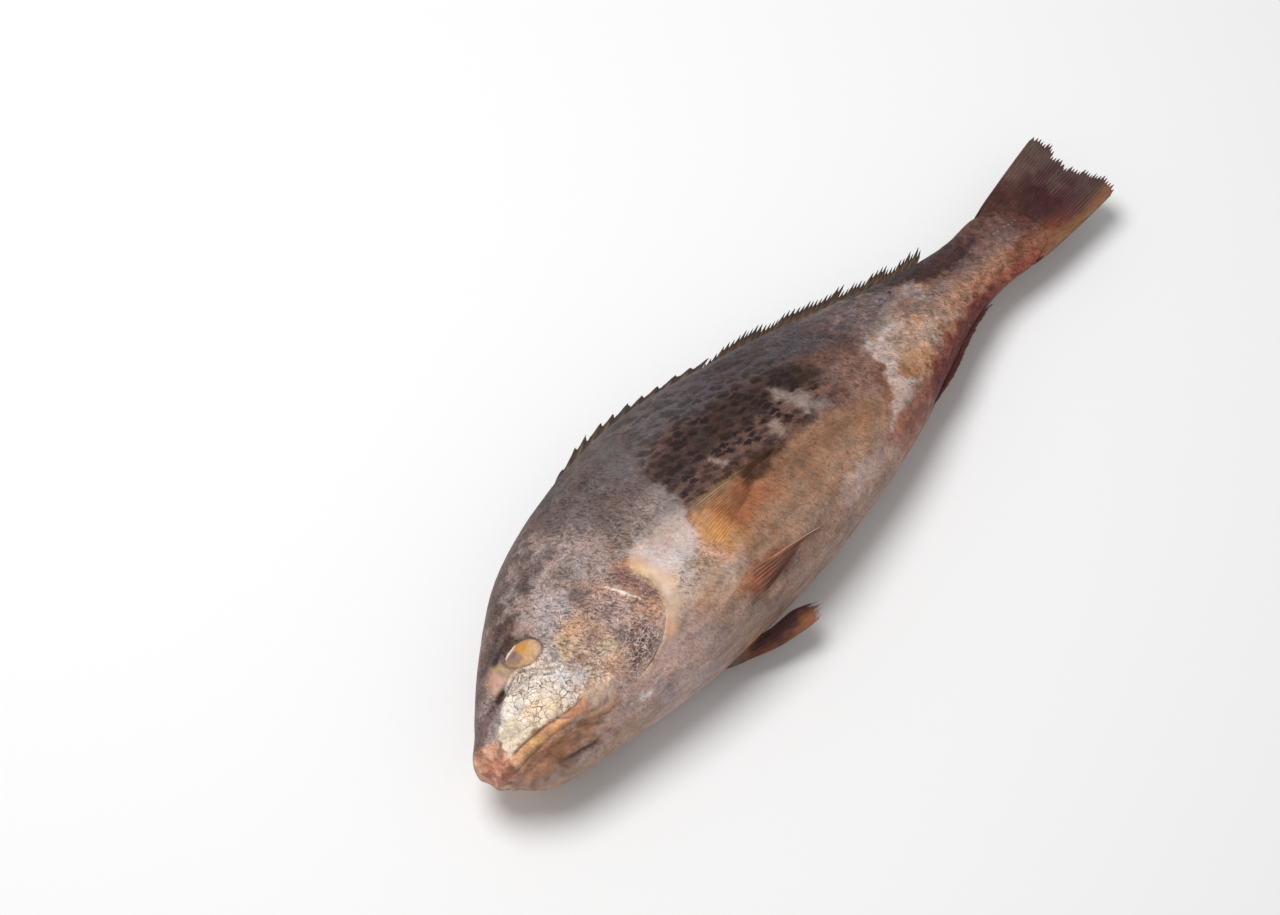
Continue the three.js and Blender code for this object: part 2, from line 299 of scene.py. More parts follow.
MOUTH = np.array([(2, -2, -4.5), (6, -3, -7), (9, -3.6, -8), (13, -4.2, -8.7), (18, -5.2, -9.6),
                  (23, -6.4, -10.4), (28, -8.2, -12), (33, -9.7, -14.2), (39, -10.6, -15.4),
                  (46, -11.8, -16.6)])
LIP_CREASE = [(28.2, -8.2), (30, -10.4), (31.6, -12.7)]
LIP_END = (34.8, -12, 4.8, 2.3, -14)
JAW_ANGLE = (40, -7)
JAW_FOLDS = (6.5, 8.2, 10, 12)
THROAT_SLIT = [(17, -16.8), (21, -18), (26, -19.8), (31, -21.6), (37, -22.8), (44, -24)]
COVER_RIM = np.array([(52, 14), (62, 14.6), (70, 13), (77, 9.6), (81.6, 5), (83, -1), (82.2, -6),
                      (80, -11), (76, -15.4), (70, -18.8), (62, -20.4), (53, -20.6)])
COVER_OUTLINE = [*COVER_RIM, (43, -12), (43, 6)]
GILL_COVER_RIDGE = [(64.5, 20), (67.5, 14.5), (70.2, 10), (72, 6.5), (73.6, 2), (75, -2), (76.5, -7)]
SNOUT_MIDDLE_X, JAW_END_X = 3, 40
BROW_HEIGHT, EYE_FOLD_HEIGHT, CHEEK_HEIGHT = 1.1, 0.7, 0.3
NOSTRIL_DEPTH, FRONT_NOSTRIL_DEPTH = 1.9, 0.8
CHEEK_GROOVE_DEPTH, CHEEK_CREST_HEIGHT = 0.45, 0.3
LIP_ROLL, LIP_GROOVE_DEPTH, LIP_CREASE_DEPTH, LIP_END_HEIGHT = 1.7, 0.7, 0.8, 0.8
JAW_CREASE_HEIGHT, JAW_FOLD_HEIGHT, THROAT_SLIT_DEPTH = 0.3, 0.28, 0.8
COVER_BED_DEPTH, MEMBRANE_FOLD_HEIGHT = 1.1, 0.25
SNOUT_PUCKER, SNOUT_PAD = 0.25, 0.35
SNOUT_TOP_SWELL, CHIN_DRAWN_IN, LAIN_ON_DRAWN_IN = 3.1, 1.9, 1.2
TIP_DRAWN_IN, TIP_DRAWN_TO = 1.0, 7
SKIN_PITS, SKIN_SWELLINGS, HOLLOW_DEPTH = 0.2, 0.3, 0.55
SCALE_HEIGHT, SHRUNK_CREASES, FURROW_DEPTH = 0.17, 0.16, 0.5
SCALES_FROM, SCALES_TO = 88, 288
RELIEF_FADE, RELIEF_FROM = 0.5, 2.5


def mouth_lines(x):
    """Heights of the lip's upper and lower edge at x, read off curves along the jaw."""
    return curve(x, MOUTH, 1), curve(x, MOUTH, 2)


def jaw_streaks(x, y):
    """Creases of the lower jaw, from -1 to 1: noise drawn out along lines that follow the lip."""
    below = y - mouth_lines(x)[1]
    wavy = below + 0.9 * np.sin(0.35 * x) + 0.12 * x
    return fractal(np.stack([0.24 * x, wavy, 0 * x], axis=-1), 1.7, 16, 3)


def snout_wrinkles(place):
    """Puckered skin at the snout's tip, as noise from -1 to 1."""
    return fractal(place, 2.4, 13, 3)


def jaw_folds(x, y, place):
    """Folds of skin round the corner of the jaw: bells across rings about it. Returns them and how far
    they reach round, from 0 to 1."""
    away = np.hypot(x - JAW_ANGLE[0], y - JAW_ANGLE[1]) + 2.4 * fractal(place, 4.2, 12, 3)
    around = np.degrees(np.arctan2(y - JAW_ANGLE[1], x - JAW_ANGLE[0]))
    reach = ramp(around, -140, -100) * ramp(around, 55, 20)
    return sum(bell(away - radius, 0.5) for radius in JAW_FOLDS), reach


def bare_skin(place):
    """Unevenness of the scaleless skin on bone, as noise: small pits upon broad swellings."""
    return SKIN_PITS * fractal(place, 2.6, 14, 3) + SKIN_SWELLINGS * fractal(place, 14, 15, 2)


def head_relief(x, y, place):
    """How far the head stands out from its smooth section: sockets, ridges, grooves and rolls, each a
    bell or a step across its own line, oval or outline."""
    from_eye = oval_away(x, y, EYE)
    relief = -EYE_DEPTH * ramp(from_eye, 1.03, 0.9) * ramp(y, EYE_TOP + 0.3, EYE_TOP - 0.3)
    brow, along_brow = line_away(x, y, BROW)
    relief += BROW_HEIGHT * bell(brow, 1.6) * ramp(along_brow, 0, 0.3) * ramp(along_brow, 1, 0.75)
    relief += EYE_FOLD_HEIGHT * ramp(oval_away(x, y, EYE_FOLD), 1.3, 0.4)
    relief -= NOSTRIL_DEPTH * ramp(oval_away(x, y, NOSTRIL), 1.3, 0.3)
    relief -= FRONT_NOSTRIL_DEPTH * ramp(oval_away(x, y, FRONT_NOSTRIL), 1.3, 0.3)
    relief += CHEEK_HEIGHT * field(x, y, CHEEK, 1.5)
    for line in CHEEK_LINES:
        groove, along = line_away(x, y, line)
        profile = CHEEK_GROOVE_DEPTH * bell(groove, 0.4) - CHEEK_CREST_HEIGHT * bell(groove - 1, 0.45)
        relief -= ramp(along, 0, 0.25) * profile
    upper, lower = mouth_lines(x)
    jaws = ramp(x, 3, 8) * ramp(x, JAW_END_X, 36)
    inside = np.clip((y - lower) / np.maximum(upper - lower, 0.1), 0, 1)
    relief += LIP_ROLL * np.sqrt(inside * (1 - inside)) * jaws * ramp(x, 33, 27)
    lower_groove = LIP_GROOVE_DEPTH * bell(y - lower, 0.9) * ramp(x, 33, 29)
    relief -= jaws * (LIP_GROOVE_DEPTH * bell(y - upper, 0.4) + lower_groove)
    crease, along_crease = line_away(x, y, LIP_CREASE)
    relief -= LIP_CREASE_DEPTH * bell(crease, 0.35) * ramp(along_crease, 1, 0.6)
    relief += LIP_END_HEIGHT * ramp(oval_away(x, y, LIP_END), 1.2, 0.4)
    creased = JAW_CREASE_HEIGHT * jaw_streaks(x, y) * ramp(y - lower, 1, -1)
    relief += creased * ramp(y, -26, -20) * ramp(x, 52, 42)
    jaw_rings, jaw_reach = jaw_folds(x, y, place)
    relief += JAW_FOLD_HEIGHT * jaw_reach * (jaw_rings - 1.2)
    slit, along_slit = line_away(x, y, THROAT_SLIT)
    slit_reach = np.sqrt(np.clip(4 * along_slit * (1 - along_slit), 0, 1))
    relief -= THROAT_SLIT_DEPTH * bell(slit, 0.5) * slit_reach
    off_cover = outside(x, y, COVER_OUTLINE)
    behind = ramp(x, 48, 60)
    relief -= COVER_BED_DEPTH * ramp(off_cover, 0.2, -2.2) * behind
    folds = bell(off_cover - 1.2, 0.9) + 0.8 * bell(off_cover - 3.4, 0.7)
    folds = folds + 0.5 * bell(off_cover - 5.3, 0.7)
    relief += MEMBRANE_FOLD_HEIGHT * folds * behind * ramp(y, 7, 1)
    snout = ramp(np.hypot(x - SNOUT_MIDDLE_X, y), 13, 5)
    relief += snout * (SNOUT_PUCKER * snout_wrinkles(place) + SNOUT_PAD)
    return relief + ramp(x, 100, 80) * bare_skin(place)


def snout_swell(x, turn):
    """The blunt snout: swollen in a bell along its top, drawn in by bells under the chin and where it
    lies, and drawn in all round at its tip."""
    top = SNOUT_TOP_SWELL * bell(x - 4.2, 4.4) * ramp(np.sin(turn), 0.3, 0.9)
    chin = -CHIN_DRAWN_IN * bell(x - 5, 8) * ramp(-np.sin(turn), 0.4, 0.9)
    lain_on = -LAIN_ON_DRAWN_IN * bell(x - SNOUT_MIDDLE_X, 5) * ramp(-np.cos(turn), 0.4, 0.95)
    return (top + chin + lain_on) * ramp(x, 0, 3) - TIP_DRAWN_IN * ramp(x, TIP_DRAWN_TO, 0)


def hollows(x, place):
    """Broad hollows where muscle has dried, as noise behind the head."""
    return HOLLOW_DEPTH * ramp(x, 80, 110) * fractal(place, 30, 21, 2)


def trunk_relief(x, y, girth, place):
    """How far the trunk stands out: roof-tile scales, shrinkage creases and shallow hollows of dried
    muscle, with a furrow along the middle of the flank."""
    back_share = scales(x, girth)
    scaled = ramp(x, SCALES_FROM - 6, SCALES_FROM + 12) * ramp(x, SCALES_TO + 10, SCALES_TO - 20)
    relief = scaled * SCALE_HEIGHT * (back_share - 0.6)
    stretched = place * np.array([0.4, 1, 1])
    relief += SHRUNK_CREASES * ramp(x, 80, 110) * fractal(stretched, 4, 20, 3) + hollows(x, place)
    back, _, widest, _ = section(x)
    middle = (y - widest) / (back - widest)
    furrow = bell(middle - 0.12, 0.1) * ramp(x, 130, 190) * ramp(x, 300, 270)
    return relief - FURROW_DEPTH * furrow


BACK_TONE = colour(62, 49, 45)
TAN_TONE = colour(160, 120, 93)
BELLY_TONE = colour(152, 122, 107)
HEAD_TONE = colour(162, 141, 134)
THROAT_TONE = colour(174, 148, 141)
VEIN_TONE = colour(78, 58, 52)
CROWN_TONE = colour(100, 78, 72)
ROOT_TONE = colour(70, 34, 30)
PORE_TONE = colour(186, 160, 148)
CREAM_TONE, SILVER_TONE = colour(236, 214, 190), colour(243, 229, 217)
GREY_SILVER_TONE = colour(227, 217, 214)
YELLOW_STAIN_TONE, DULL_STAIN_TONE = colour(226, 198, 134), colour(186, 164, 146)
# The snout's furrow tone is painted shade in its wrinkles, and its crest tone is painted highlights on
# them.
SNOUT_FURROW_SHADE_TONE, SNOUT_CREST_HIGHLIGHT_TONE = colour(142, 92, 74), colour(236, 192, 168)
# Both nostril tones are painted shade in the nostrils' pits.
NOSTRIL_SHADE_TONE, FRONT_NOSTRIL_SHADE_TONE = colour(44, 20, 16), colour(84, 62, 55)
# Painted shadow of the brow over the eye, and painted shade in a ring round the eye's socket.
BROW_SHADOW_TONE, SOCKET_SHADE_TONE = colour(34, 23, 20), colour(96, 68, 56)
# Painted shade in the cheek's grooves and painted highlights on their crests.
GROOVE_SHADE_TONE, GROOVE_CREST_HIGHLIGHT_TONE = colour(112, 90, 78), colour(244, 234, 224)
# The lip line tone is painted shade in the mouth's groove and the lip's crease; the lip crest tone is a
# painted highlight on the crease's edge.
LIP_LINE_SHADE_TONE, LIP_CREST_HIGHLIGHT_TONE = colour(66, 44, 37), colour(232, 196, 162)
RED_SEAM_TONE = colour(116, 66, 50)
# Painted shade in the jaw's creases and painted highlights on their crests.
JAW_CREASE_SHADE_TONE, JAW_CREST_HIGHLIGHT_TONE = colour(96, 67, 52), colour(196, 156, 126)
# Painted highlights: glistening pale lines on the folds round the jaw's corner.
JAW_FOLD_HIGHLIGHT_TONE = colour(234, 214, 196)
# The slit tone is painted shade in the throat slit.
SLIT_SHADE_TONE, COVER_RIM_TONE = colour(74, 51, 38), colour(216, 186, 162)
# The ridge tone is a painted highlight along the gill cover's ridge; the ridge side tone is its tan side.
RIDGE_SIDE_TONE, RIDGE_HIGHLIGHT_TONE = colour(176, 140, 124), colour(238, 222, 210)
DARKEST = 0.004
PALE_MARKS = [
    [(155, 0), (156.5, 4), (160.5, 3.5), (160, -1), (160.5, -3.5), (156, -2.5)],
    [(168, 5), (168.5, 12.5), (171.5, 12.5), (172.5, 5.5), (176.5, 5), (176.5, -2), (178.5, -7),
     (174.5, -7), (169, -2)],
    [(131.3, 9.5), (133.2, 9.5), (134.6, 5), (134.6, 2.5), (132, 5)],
]
# Some patches of the upper flank are darker than the skin's own colour, as painted shadow cast by something
# lying over it: the grey-lilac above the dark marks, the top of the dark zone, the upper shoulder, the
# grey-lilac before the tail root with its pale lobe, and the maroon-black above the tail root.
TRUNK_PATCHES = [
    # tone, density, softness of the edge, outline
    ((94, 65, 55), 0.97, 3.0,
     [(106, 62), (106, 3), (128, 1), (146, -4.5), (165, -7.5), (180, -10), (196, -12), (204, -13),
      (208, -4), (211, 4), (216, 14), (206, 30), (180, 50), (140, 60)]),
    # Grey-lilac of the upper flank, partly painted shadow.
    ((74, 69, 74), 0.8, 6.0,
     [(116, 30), (150, 24), (186, 16), (205, 8), (205, 40), (140, 60), (118, 60)]),
    ((144, 107, 93), 0.85, 5.0,
     [(180, 0), (194, 6), (208, 2), (207, -8), (203, -15), (190, -18), (180, -12)]),
    ((132, 93, 70), 0.75, 3.5,
     [(120, -6), (150, -7), (178, -10), (196, -17), (188, -21), (150, -17), (122, -15)]),
    ((160, 122, 98), 0.6, 4.0, [(116, -17), (150, -17), (182, -20), (178, -25), (150, -24), (116, -24)]),
    ((152, 120, 101), 0.6, 3.5, [(110, -23), (150, -24), (186, -25), (184, -29), (150, -31), (112, -30)]),
    ((180, 156, 148), 0.8, 2.0,
     [(152, -31), (160, -28.5), (168, -28), (178, -29.5), (184, -32), (165, -35), (155, -34)]),
    ((98, 71, 62), 0.75, 3.5, [(111, 26), (112, 3), (128, 1), (146, -3), (170, -4), (174, 6), (150, 22)]),
    ((38, 25, 22), 0.7, 3.0, [(171, 15), (178, 16), (187, 8), (186, 3.5), (180, 4), (175, 8)]),
    ((100, 68, 57), 0.6, 2.5, [(177, -3), (187, -2), (188, -10), (182, -13), (177, -8)]),
    # Darkest top of the dark zone: its own dark marks, darkened further as painted shadow.
    ((36, 17, 14), 0.72, 4.0,
     [(112, 25), (111, 13), (140, 9.5), (165, 9), (186, 8.5), (184, 16), (160, 22), (135, 25)]),
    ((158, 140, 131), 0.7, 2.0, PALE_MARKS[0]),
    ((154, 136, 128), 0.7, 2.4, PALE_MARKS[1]),
    ((160, 143, 135), 0.6, 0.9, PALE_MARKS[2]),
    ((110, 96, 93), 0.95, 7.0, [(76, 26), (110, 22), (120, 30), (112, 46), (60, 66)]),
    # Upper shoulder, partly painted shadow.
    ((116, 100, 96), 0.97, 1.0,
     [(82, 8), (110, 6), (113.4, 10), (112.6, 16), (113.6, 24), (110, 28), (84, 32), (74, 30)]),
    ((146, 130, 126), 0.7, 3.5, [(92, 8), (111, 8), (111.5, 16), (104, 18), (95, 16)]),
    ((98, 86, 85), 0.85, 8.0, [(78, 33), (112, 31), (150, 33), (150, 66), (76, 66)]),
    ((138, 112, 88), 0.5, 3.5, [(81, 13), (90, 13), (90, 24), (81, 23)]),
    ((86, 70, 66), 0.65, 4.0, [(86, 18), (96, 18), (104, 21), (111, 21), (111, 27), (96, 29), (88, 27)]),
    ((188, 160, 139), 0.75, 3.0, [(86, -10), (104, -9), (107, -18), (104, -24), (82, -20)]),
    ((166, 146, 142), 0.55, 2.5, [(87, -10), (95, -10), (94, -16), (86, -15)]),
    ((170, 134, 114), 0.6, 3.0, [(74, -19.5), (90, -18), (98, -20), (96, -25), (76, -24)]),
    ((182, 162, 153), 0.6, 3.0, [(97, -20), (112, -18), (110, -25), (96, -26)]),
    ((172, 155, 147), 0.75, 3.0, [(90, 9), (110, 7), (110.5, 0), (92, 0)]),
    ((198, 181, 176), 0.9, 3.0, [(85.5, 10), (92, 10), (93, 2), (87, -1)]),
    ((198, 181, 175), 0.95, 3.2, [(90, 1), (108, 0), (109, -6), (101, -9), (90, -10), (87, -4)]),
    ((208, 164, 146), 0.75, 3.0, [(101, -7), (107, -6), (109, -11), (107, -17), (102, -15)]),
    ((186, 133, 90), 0.95, 4.0,
     [(108, -1), (113, 1.5), (121, -1), (126, -6), (122, -13), (117, -17), (109, -17), (107, -9)]),
    ((202, 140, 74), 0.6, 3.4, [(109, -6), (117, -5), (119, -10), (112, -14), (108, -11)]),
    ((152, 91, 57), 0.85, 4.0, [(117, -3), (133, -4.5), (141, -8), (133, -13), (118, -16)]),
    ((122, 90, 64), 0.7, 1.8, [(110, 3.5), (126, 2.6), (141, 0), (139, -3), (120, -1), (110, 0.5)]),
    ((58, 30, 16), 0.9, 2.4, [(131, 1.2), (143, 0), (152, -3.5), (157, -6), (148, -8.6), (136, -7.6)]),
    ((142, 81, 57), 0.85, 2.5,
     [(103, -27.5), (110, -26), (118, -26.5), (126, -29), (122, -33), (108, -34), (102, -31)]),
    # Grey-lilac before the tail root, partly painted shadow.
    ((105, 92, 94), 0.85, 5.0,
     [(207, 14), (212, 3), (232, 5), (241, 10), (238, 22), (215, 30), (203, 30)]),
    ((178, 148, 132), 0.8, 3.0, [(212, -8), (226, -6), (248, -5), (248, -14), (226, -17), (212, -14)]),
    ((176, 158, 150), 0.85, 3.5,
     [(208, 2), (216, 4), (229, 2), (229, -4), (222, -7), (214, -9), (208, -8)]),
    ((104, 84, 78), 0.6, 1.5, [(215.5, -2.6), (222, -3.6), (221.5, -6.4), (215.5, -5.8)]),
    ((172, 134, 102), 0.7, 2.0,
     [(207, -12), (215, -10), (227, -12), (225, -19), (214, -20), (208, -18.5)]),
    ((160, 110, 76), 0.75, 1.8, [(206.5, -13), (212, -13), (214, -19), (208, -18.5)]),
    ((146, 106, 66), 0.6, 1.8, [(232, -12.5), (243, -11.5), (244, -15), (233, -16.5)]),
    ((152, 100, 82), 0.85, 2.0,
     [(182, -27.5), (196, -24.5), (213, -21.5), (222, -24), (214, -29), (188, -34)]),
    ((116, 66, 58), 0.6, 2.0, [(190, -28), (210, -24.5), (214, -28), (194, -31)]),
    ((112, 68, 56), 0.7, 1.6,
     [(207.5, -6), (203, -13.5), (197, -19.5), (189, -24.5), (193, -18), (200, -10)]),
    ((184, 161, 153), 0.95, 0.9,
     [(209, 3), (213, 2), (217, -5), (211.5, -11.5), (207, -14.5), (206.5, -17.5), (212, -20.5),
      (201, -23.8), (188, -26.5), (195, -21.5), (201, -16), (205, -9.5)]),
    ((84, 68, 66), 0.7, 1.8, [(230, 0), (231, 6), (235, 6), (236.5, 1), (236.5, -3), (232, -2)]),
    ((124, 102, 96), 0.75, 3.0, [(236, 0), (246, 4), (258, 3), (262, -3), (245, -5), (236, -4)]),
    ((106, 75, 68), 0.9, 3.5, [(254, 5), (285, 11), (306, 10), (306, -5), (285, -3), (260, -2)]),
    ((118, 93, 88), 0.65, 3.0,
     [(250, 4), (270, 5), (288, 5), (292, 0), (280, -3.5), (262, -3), (250, -3)]),
    ((148, 108, 88), 0.85, 3.0, [(244, -4), (262, -3.5), (276, -4), (284, -6), (282, -15), (244, -17)]),
    ((160, 104, 80), 0.55, 2.5, [(256, -4.5), (272, -5), (274, -12), (258, -12)]),
    ((106, 53, 44), 0.9, 3.5, [(280, -5), (292, -3), (304, -4), (304, -16), (276, -16)]),
    ((138, 94, 60), 0.5, 2.0, [(282, -8), (292, -6), (290, -10), (281, -13)]),
    ((140, 92, 64), 0.7, 2.5, [(284, -9), (304, -6), (304, -17), (281, -16)]),
    # Maroon-black above the tail root, partly painted shadow.
    ((47, 20, 22), 0.95, 3.0,
     [(238, 24), (237, 13), (243, 10), (247, 4), (262, 3.4), (279, 5), (280, 9), (262, 20)]),
    ((74, 45, 43), 0.9, 3.0, [(256, 8), (275, 8), (304, 9), (304, 20), (256, 24)]),
    ((50, 37, 35), 0.85, 3.0, [(228, 30), (234, 17), (248, 12), (270, 11), (270, 20), (240, 30)]),
    # Pale lobe, darkened in part as painted shadow.
    ((148, 131, 129), 0.85, 1.8, [(236, 6), (238, 10.5), (243, 10.5), (245, 6), (243.5, 2), (239, 1.5)]),
    ((132, 68, 55), 0.8, 2.6,
     [(208, -25), (222, -18.5), (236, -14), (250, -11.5), (276, -9.6), (290, -10), (290, -19),
      (214, -32)]),
    ((98, 42, 39), 0.9, 2.2,
     [(212, -27), (222, -21), (236, -16.6), (250, -13.6), (264, -12.4), (264, -19), (214, -32)]),
]
FACE_PATCHES = [
    ((114, 90, 87), 0.9, 1.5,
     [(1, 6.5), (9, 7.8), (16, 9.6), (20, 10.6), (25, 13.5), (25, 17), (24.5, 21.5), (34, 31), (8, 17)]),
    ((174, 146, 136), 0.8, 2.2, [(14, 13.4), (20, 14), (25, 14.8), (24, 19.5), (18, 17.6)]),
    ((104, 80, 76), 0.4, 1.4, [(12, 8.6), (20, 10), (26, 11.4), (25.5, 13.6), (19, 13.2), (13, 11)]),
    ((194, 154, 132), 0.75, 2.2, [(23, 14), (29.5, 13.3), (30, 22), (25, 21.5)]),
    ((186, 122, 104), 0.4, 1.6, [(24.5, 18), (28, 18), (28, 21.5), (25, 21)]),
    ((182, 154, 114), 0.75, 1.5, [(29, 12.8), (32.4, 13.2), (32.8, 20), (31.5, 21.4), (29.2, 21)]),
    ((66, 48, 43), 0.92, 1.8,
     [(26, 23.4), (31.5, 21), (40, 20.8), (44, 23), (48, 25), (47, 29), (40, 30), (32, 28.5)]),
    ((122, 99, 88), 0.6, 1.2, [(35, 25), (40, 26.5), (43, 25.4), (38, 22.8)]),
    ((132, 108, 102), 0.7, 2.5, [(28, 27), (37, 28.5), (43, 35), (36, 35)]),
    ((60, 45, 42), 0.8, 1.4, [(42.5, 34), (48, 35.5), (49, 32), (43.5, 31.8)]),
    ((140, 106, 95), 0.65, 2.0, [(39.5, 21), (46, 25), (48, 18), (45.8, 13), (43.8, 18)]),
    ((197, 175, 168), 0.72, 3.0, [(45.5, 14), (47, 22), (57, 25), (61, 13), (50, 10.5)]),
    ((198, 160, 136), 0.8, 3.5, [(48, 9), (60, 9), (63, 0), (62, -13), (52, -14), (48, -4)]),
    ((210, 174, 140), 0.6, 2.5, [(54, -4), (60, -4), (60, -12), (53, -12)]),
    ((158, 116, 96), 0.55, 2.4, [(53, 3), (60, 2), (59, -4), (53, -5)]),
    ((200, 168, 134), 0.65, 2.4, [(43.8, 1), (45, 7), (49, 10), (55, 8.5), (54, 2), (48, 0.5)]),
    ((200, 170, 118), 0.45, 1.8, [(43.6, 0.4), (48.4, 0.4), (47.8, 5), (44.5, 5)]),
    ((183, 154, 144), 0.8, 2.5, [(61, 11), (70, 11), (72, 5), (75, -2), (75, -9), (62, -9), (61, 0)]),
    ((112, 90, 90), 0.6, 1.8, [(63.5, 5), (68, 4), (68, -1), (64, -2)]),
    ((104, 80, 78), 0.65, 1.6, [(61, -4), (67, -5), (66, -8.5), (61, -8.5)]),
    ((160, 128, 115), 0.7, 2.0, [(61, 12), (64, 22), (70, 14), (72, 8)]),
    ((108, 84, 80), 0.75, 2.0, [(62, 8), (68, 10), (66, 16), (62, 15)]),
    ((110, 87, 77), 0.7, 2.2, [(61, 22), (66, 25), (71, 24.5), (71, 19), (65, 17)]),
    ((88, 70, 66), 0.75, 3.5, [(60, 36), (67, 36), (72, 31), (66, 31), (63.5, 30)]),
    ((112, 80, 73), 0.9, 2.4,
     [(57, -15), (62, -9.5), (70, -9), (74, -12), (73, -18), (64, -20), (55, -19.5), (50, -18)]),
    ((206, 151, 119), 0.75, 2.4,
     [(73, -6.5), (77.5, -8), (81, -11), (78.5, -15.5), (73, -18), (72, -12)]),
    ((140, 106, 99), 0.9, 1.6,
     [(73, 9.5), (79, 9), (83, 4), (82.4, -4), (80.5, -9.5), (77.5, -7), (75.5, 0)]),
    ((206, 148, 118), 0.95, 1.6,
     [(-3, -8), (2, -9.5), (8.5, -7.5), (9.5, -4), (10.8, 0), (10.5, 4), (8, 6.7), (5, 7.6), (-3, 3)]),
    ((160, 108, 88), 0.5, 2.0, [(-3, 8), (4, 9), (2.5, 0), (2, -9), (-3, -9)]),
    ((196, 118, 100), 0.5, 1.5, [(1, -1), (7, 1), (8, -4), (3, -7)]),
    # Painted highlight on the snout.
    ((230, 182, 156), 0.55, 1.8, [(6, 4.5), (9.6, 4), (9.8, -1), (7, -1)]),
    ((120, 72, 60), 0.75, 1.4, [(3, -3.6), (8.5, -4.4), (8.8, -6.6), (3, -6.4)]),
    ((160, 116, 89), 0.95, 1.2,
     [(3, -7.5), (9, -8.2), (18, -9.6), (23, -10.4), (28, -12.3), (33, -14.3), (39, -15.4), (48, -17),
      (46, -20.4), (30, -19.8), (18, -17.6), (7, -15.2)]),
    ((98, 67, 53), 0.65, 1.8, [(27, -14), (38, -15.6), (39, -18.2), (28, -17.5)]),
    ((124, 86, 68), 0.5, 2.0, [(13, -10), (22, -11), (22, -14), (14, -13)]),
    ((182, 134, 104), 0.6, 2.0, [(2, -8.5), (10, -9), (15, -14.5), (7, -15)]),
    ((164, 128, 102), 0.9, 1.4,
     [(6, -15.2), (14, -17.6), (20, -19.2), (28, -22), (40, -24.4), (54, -28), (36, -29), (8, -19)]),
    ((150, 118, 102), 0.6, 1.6, [(24, -18), (45, -18.5), (54, -22), (36, -21.6)]),
    ((208, 152, 110), 0.95, 0.8,
     [(9, -3.8), (11, -3.6), (15, -4.7), (20, -5.6), (25, -7), (28.3, -8.3), (31.5, -12.6), (27, -11.9),
      (23, -10.2), (18, -9.5), (9, -8)]),
    # Painted highlight on the lip.
    ((222, 178, 106), 0.6, 1.2, [(16, -7), (21.5, -7.4), (21, -9.6), (16.5, -9)]),
    ((180, 124, 90), 0.5, 1.0, [(20.5, -6), (27.5, -8.2), (27.5, -10), (22, -8.6)]),
    ((194, 138, 108), 0.95, 0.9,
     [(29, -8.9), (33, -9.6), (39, -10.6), (39.6, -13), (37.5, -14.8), (33.5, -14), (31.5, -12.3)]),
    ((206, 170, 142), 0.85, 1.8,
     [(39.5, -10.2), (46, -10.2), (51.5, -12), (50, -15.5), (44, -16.8), (39, -16)]),
    ((172, 140, 124), 0.7, 1.8, [(44, -16.7), (52, -15.5), (60, -13), (56, -18.5), (46, -19.4)]),
    ((212, 200, 198), 0.75, 0.8, [(48, -23.4), (54, -24), (56, -25.8), (50, -25)]),
]
COVER_PATCHES = [
    ((198, 172, 142), 0.75, 2.2,
     [(86, -8), (91, -9), (88, -13), (82, -17.5), (77, -20.6), (83, -16), (86, -11)]),
    ((204, 150, 114), 0.75, 1.6, [(79, -12), (82, -10), (81, -15), (76, -19.4), (71, -20.6), (75, -17)]),
    ((204, 171, 146), 0.95, 2.6,
     [(82.6, 5), (86, 4), (88.4, -3), (88, -9), (85.5, -13), (81, -17.4), (76, -20.4), (78, -16),
      (81, -11.5), (82.6, -6)]),
    ((208, 172, 124), 0.6, 2.2, [(82.8, 3.6), (86, 3), (86, -2), (85, -7), (83, -7), (83.4, -2)]),
    ((218, 192, 172), 0.5, 1.8, [(85.6, 0), (87.4, -1), (87, -7), (84.6, -11), (84, -9), (85.6, -5)]),
]
SHOULDER_BLOOM = [(86, 9), (96, 9), (110, 6), (110, 0), (107, -8), (96, -10), (87, -6)]
CROWN_BLOOM = [(46, 20), (60, 31), (84, 32), (104, 22), (100, 10), (76, 14), (52, 10)]
UPPER_BLOOM = [(118, 44), (150, 40), (200, 24), (210, 8), (190, 14), (150, 27), (118, 30)]
REAR_BLOOM = [(208, 8), (230, 10), (243, 10), (240, 0), (228, -5), (210, -8)]
BLOOMS = [
    # density, softness of the edge, outline
    (0.7, 4.0, SHOULDER_BLOOM),
    (0.4, 6.0, CROWN_BLOOM),
    (0.25, 6.0, UPPER_BLOOM),
    (0.4, 4.0, REAR_BLOOM),
]
SPECKLED = [(128, 62), (119, 34), (112.6, 24), (112.6, 2.5), (128, 0), (146, -3), (165, -6), (182, -10),
            (198, -14), (206, -8), (209, 4), (222, 9), (240, 12), (240, 40), (170, 60)]
SPECKLED_MOST = [(112, 28), (112, 2), (150, -5), (176, -6), (186, 2), (188, 12), (178, 20), (150, 28)]
CRACKLED = [(40, 12), (58, 14), (72, 12), (82, 6), (82, -8), (74, -18), (56, -20), (42, -17), (38, -10)]
FUZZ = [(50, -18), (58, -10), (66, -6.5), (75, -8.5), (76, -14), (73, -18), (64, -20.5), (54, -20.5)]
JAW_CORNER = [(41, -8), (49, -9), (53, -13), (49, -18), (40, -18), (38, -14)]
BARE_JAWS = [(-5, 10), (11, 5), (11, -3), (24, -6), (40, -10), (50, -14), (46, -20), (30, -20), (0, -18)]
MEMBRANE = [(82.5, 7), (88, 5), (90, -8), (84, -16), (74, -22), (70, -20.5), (80, -12), (83, -4)]
NOSE_FOLD = [(22, 13.6), (30, 12.6), (33, 14), (32, 22), (25, 22)]
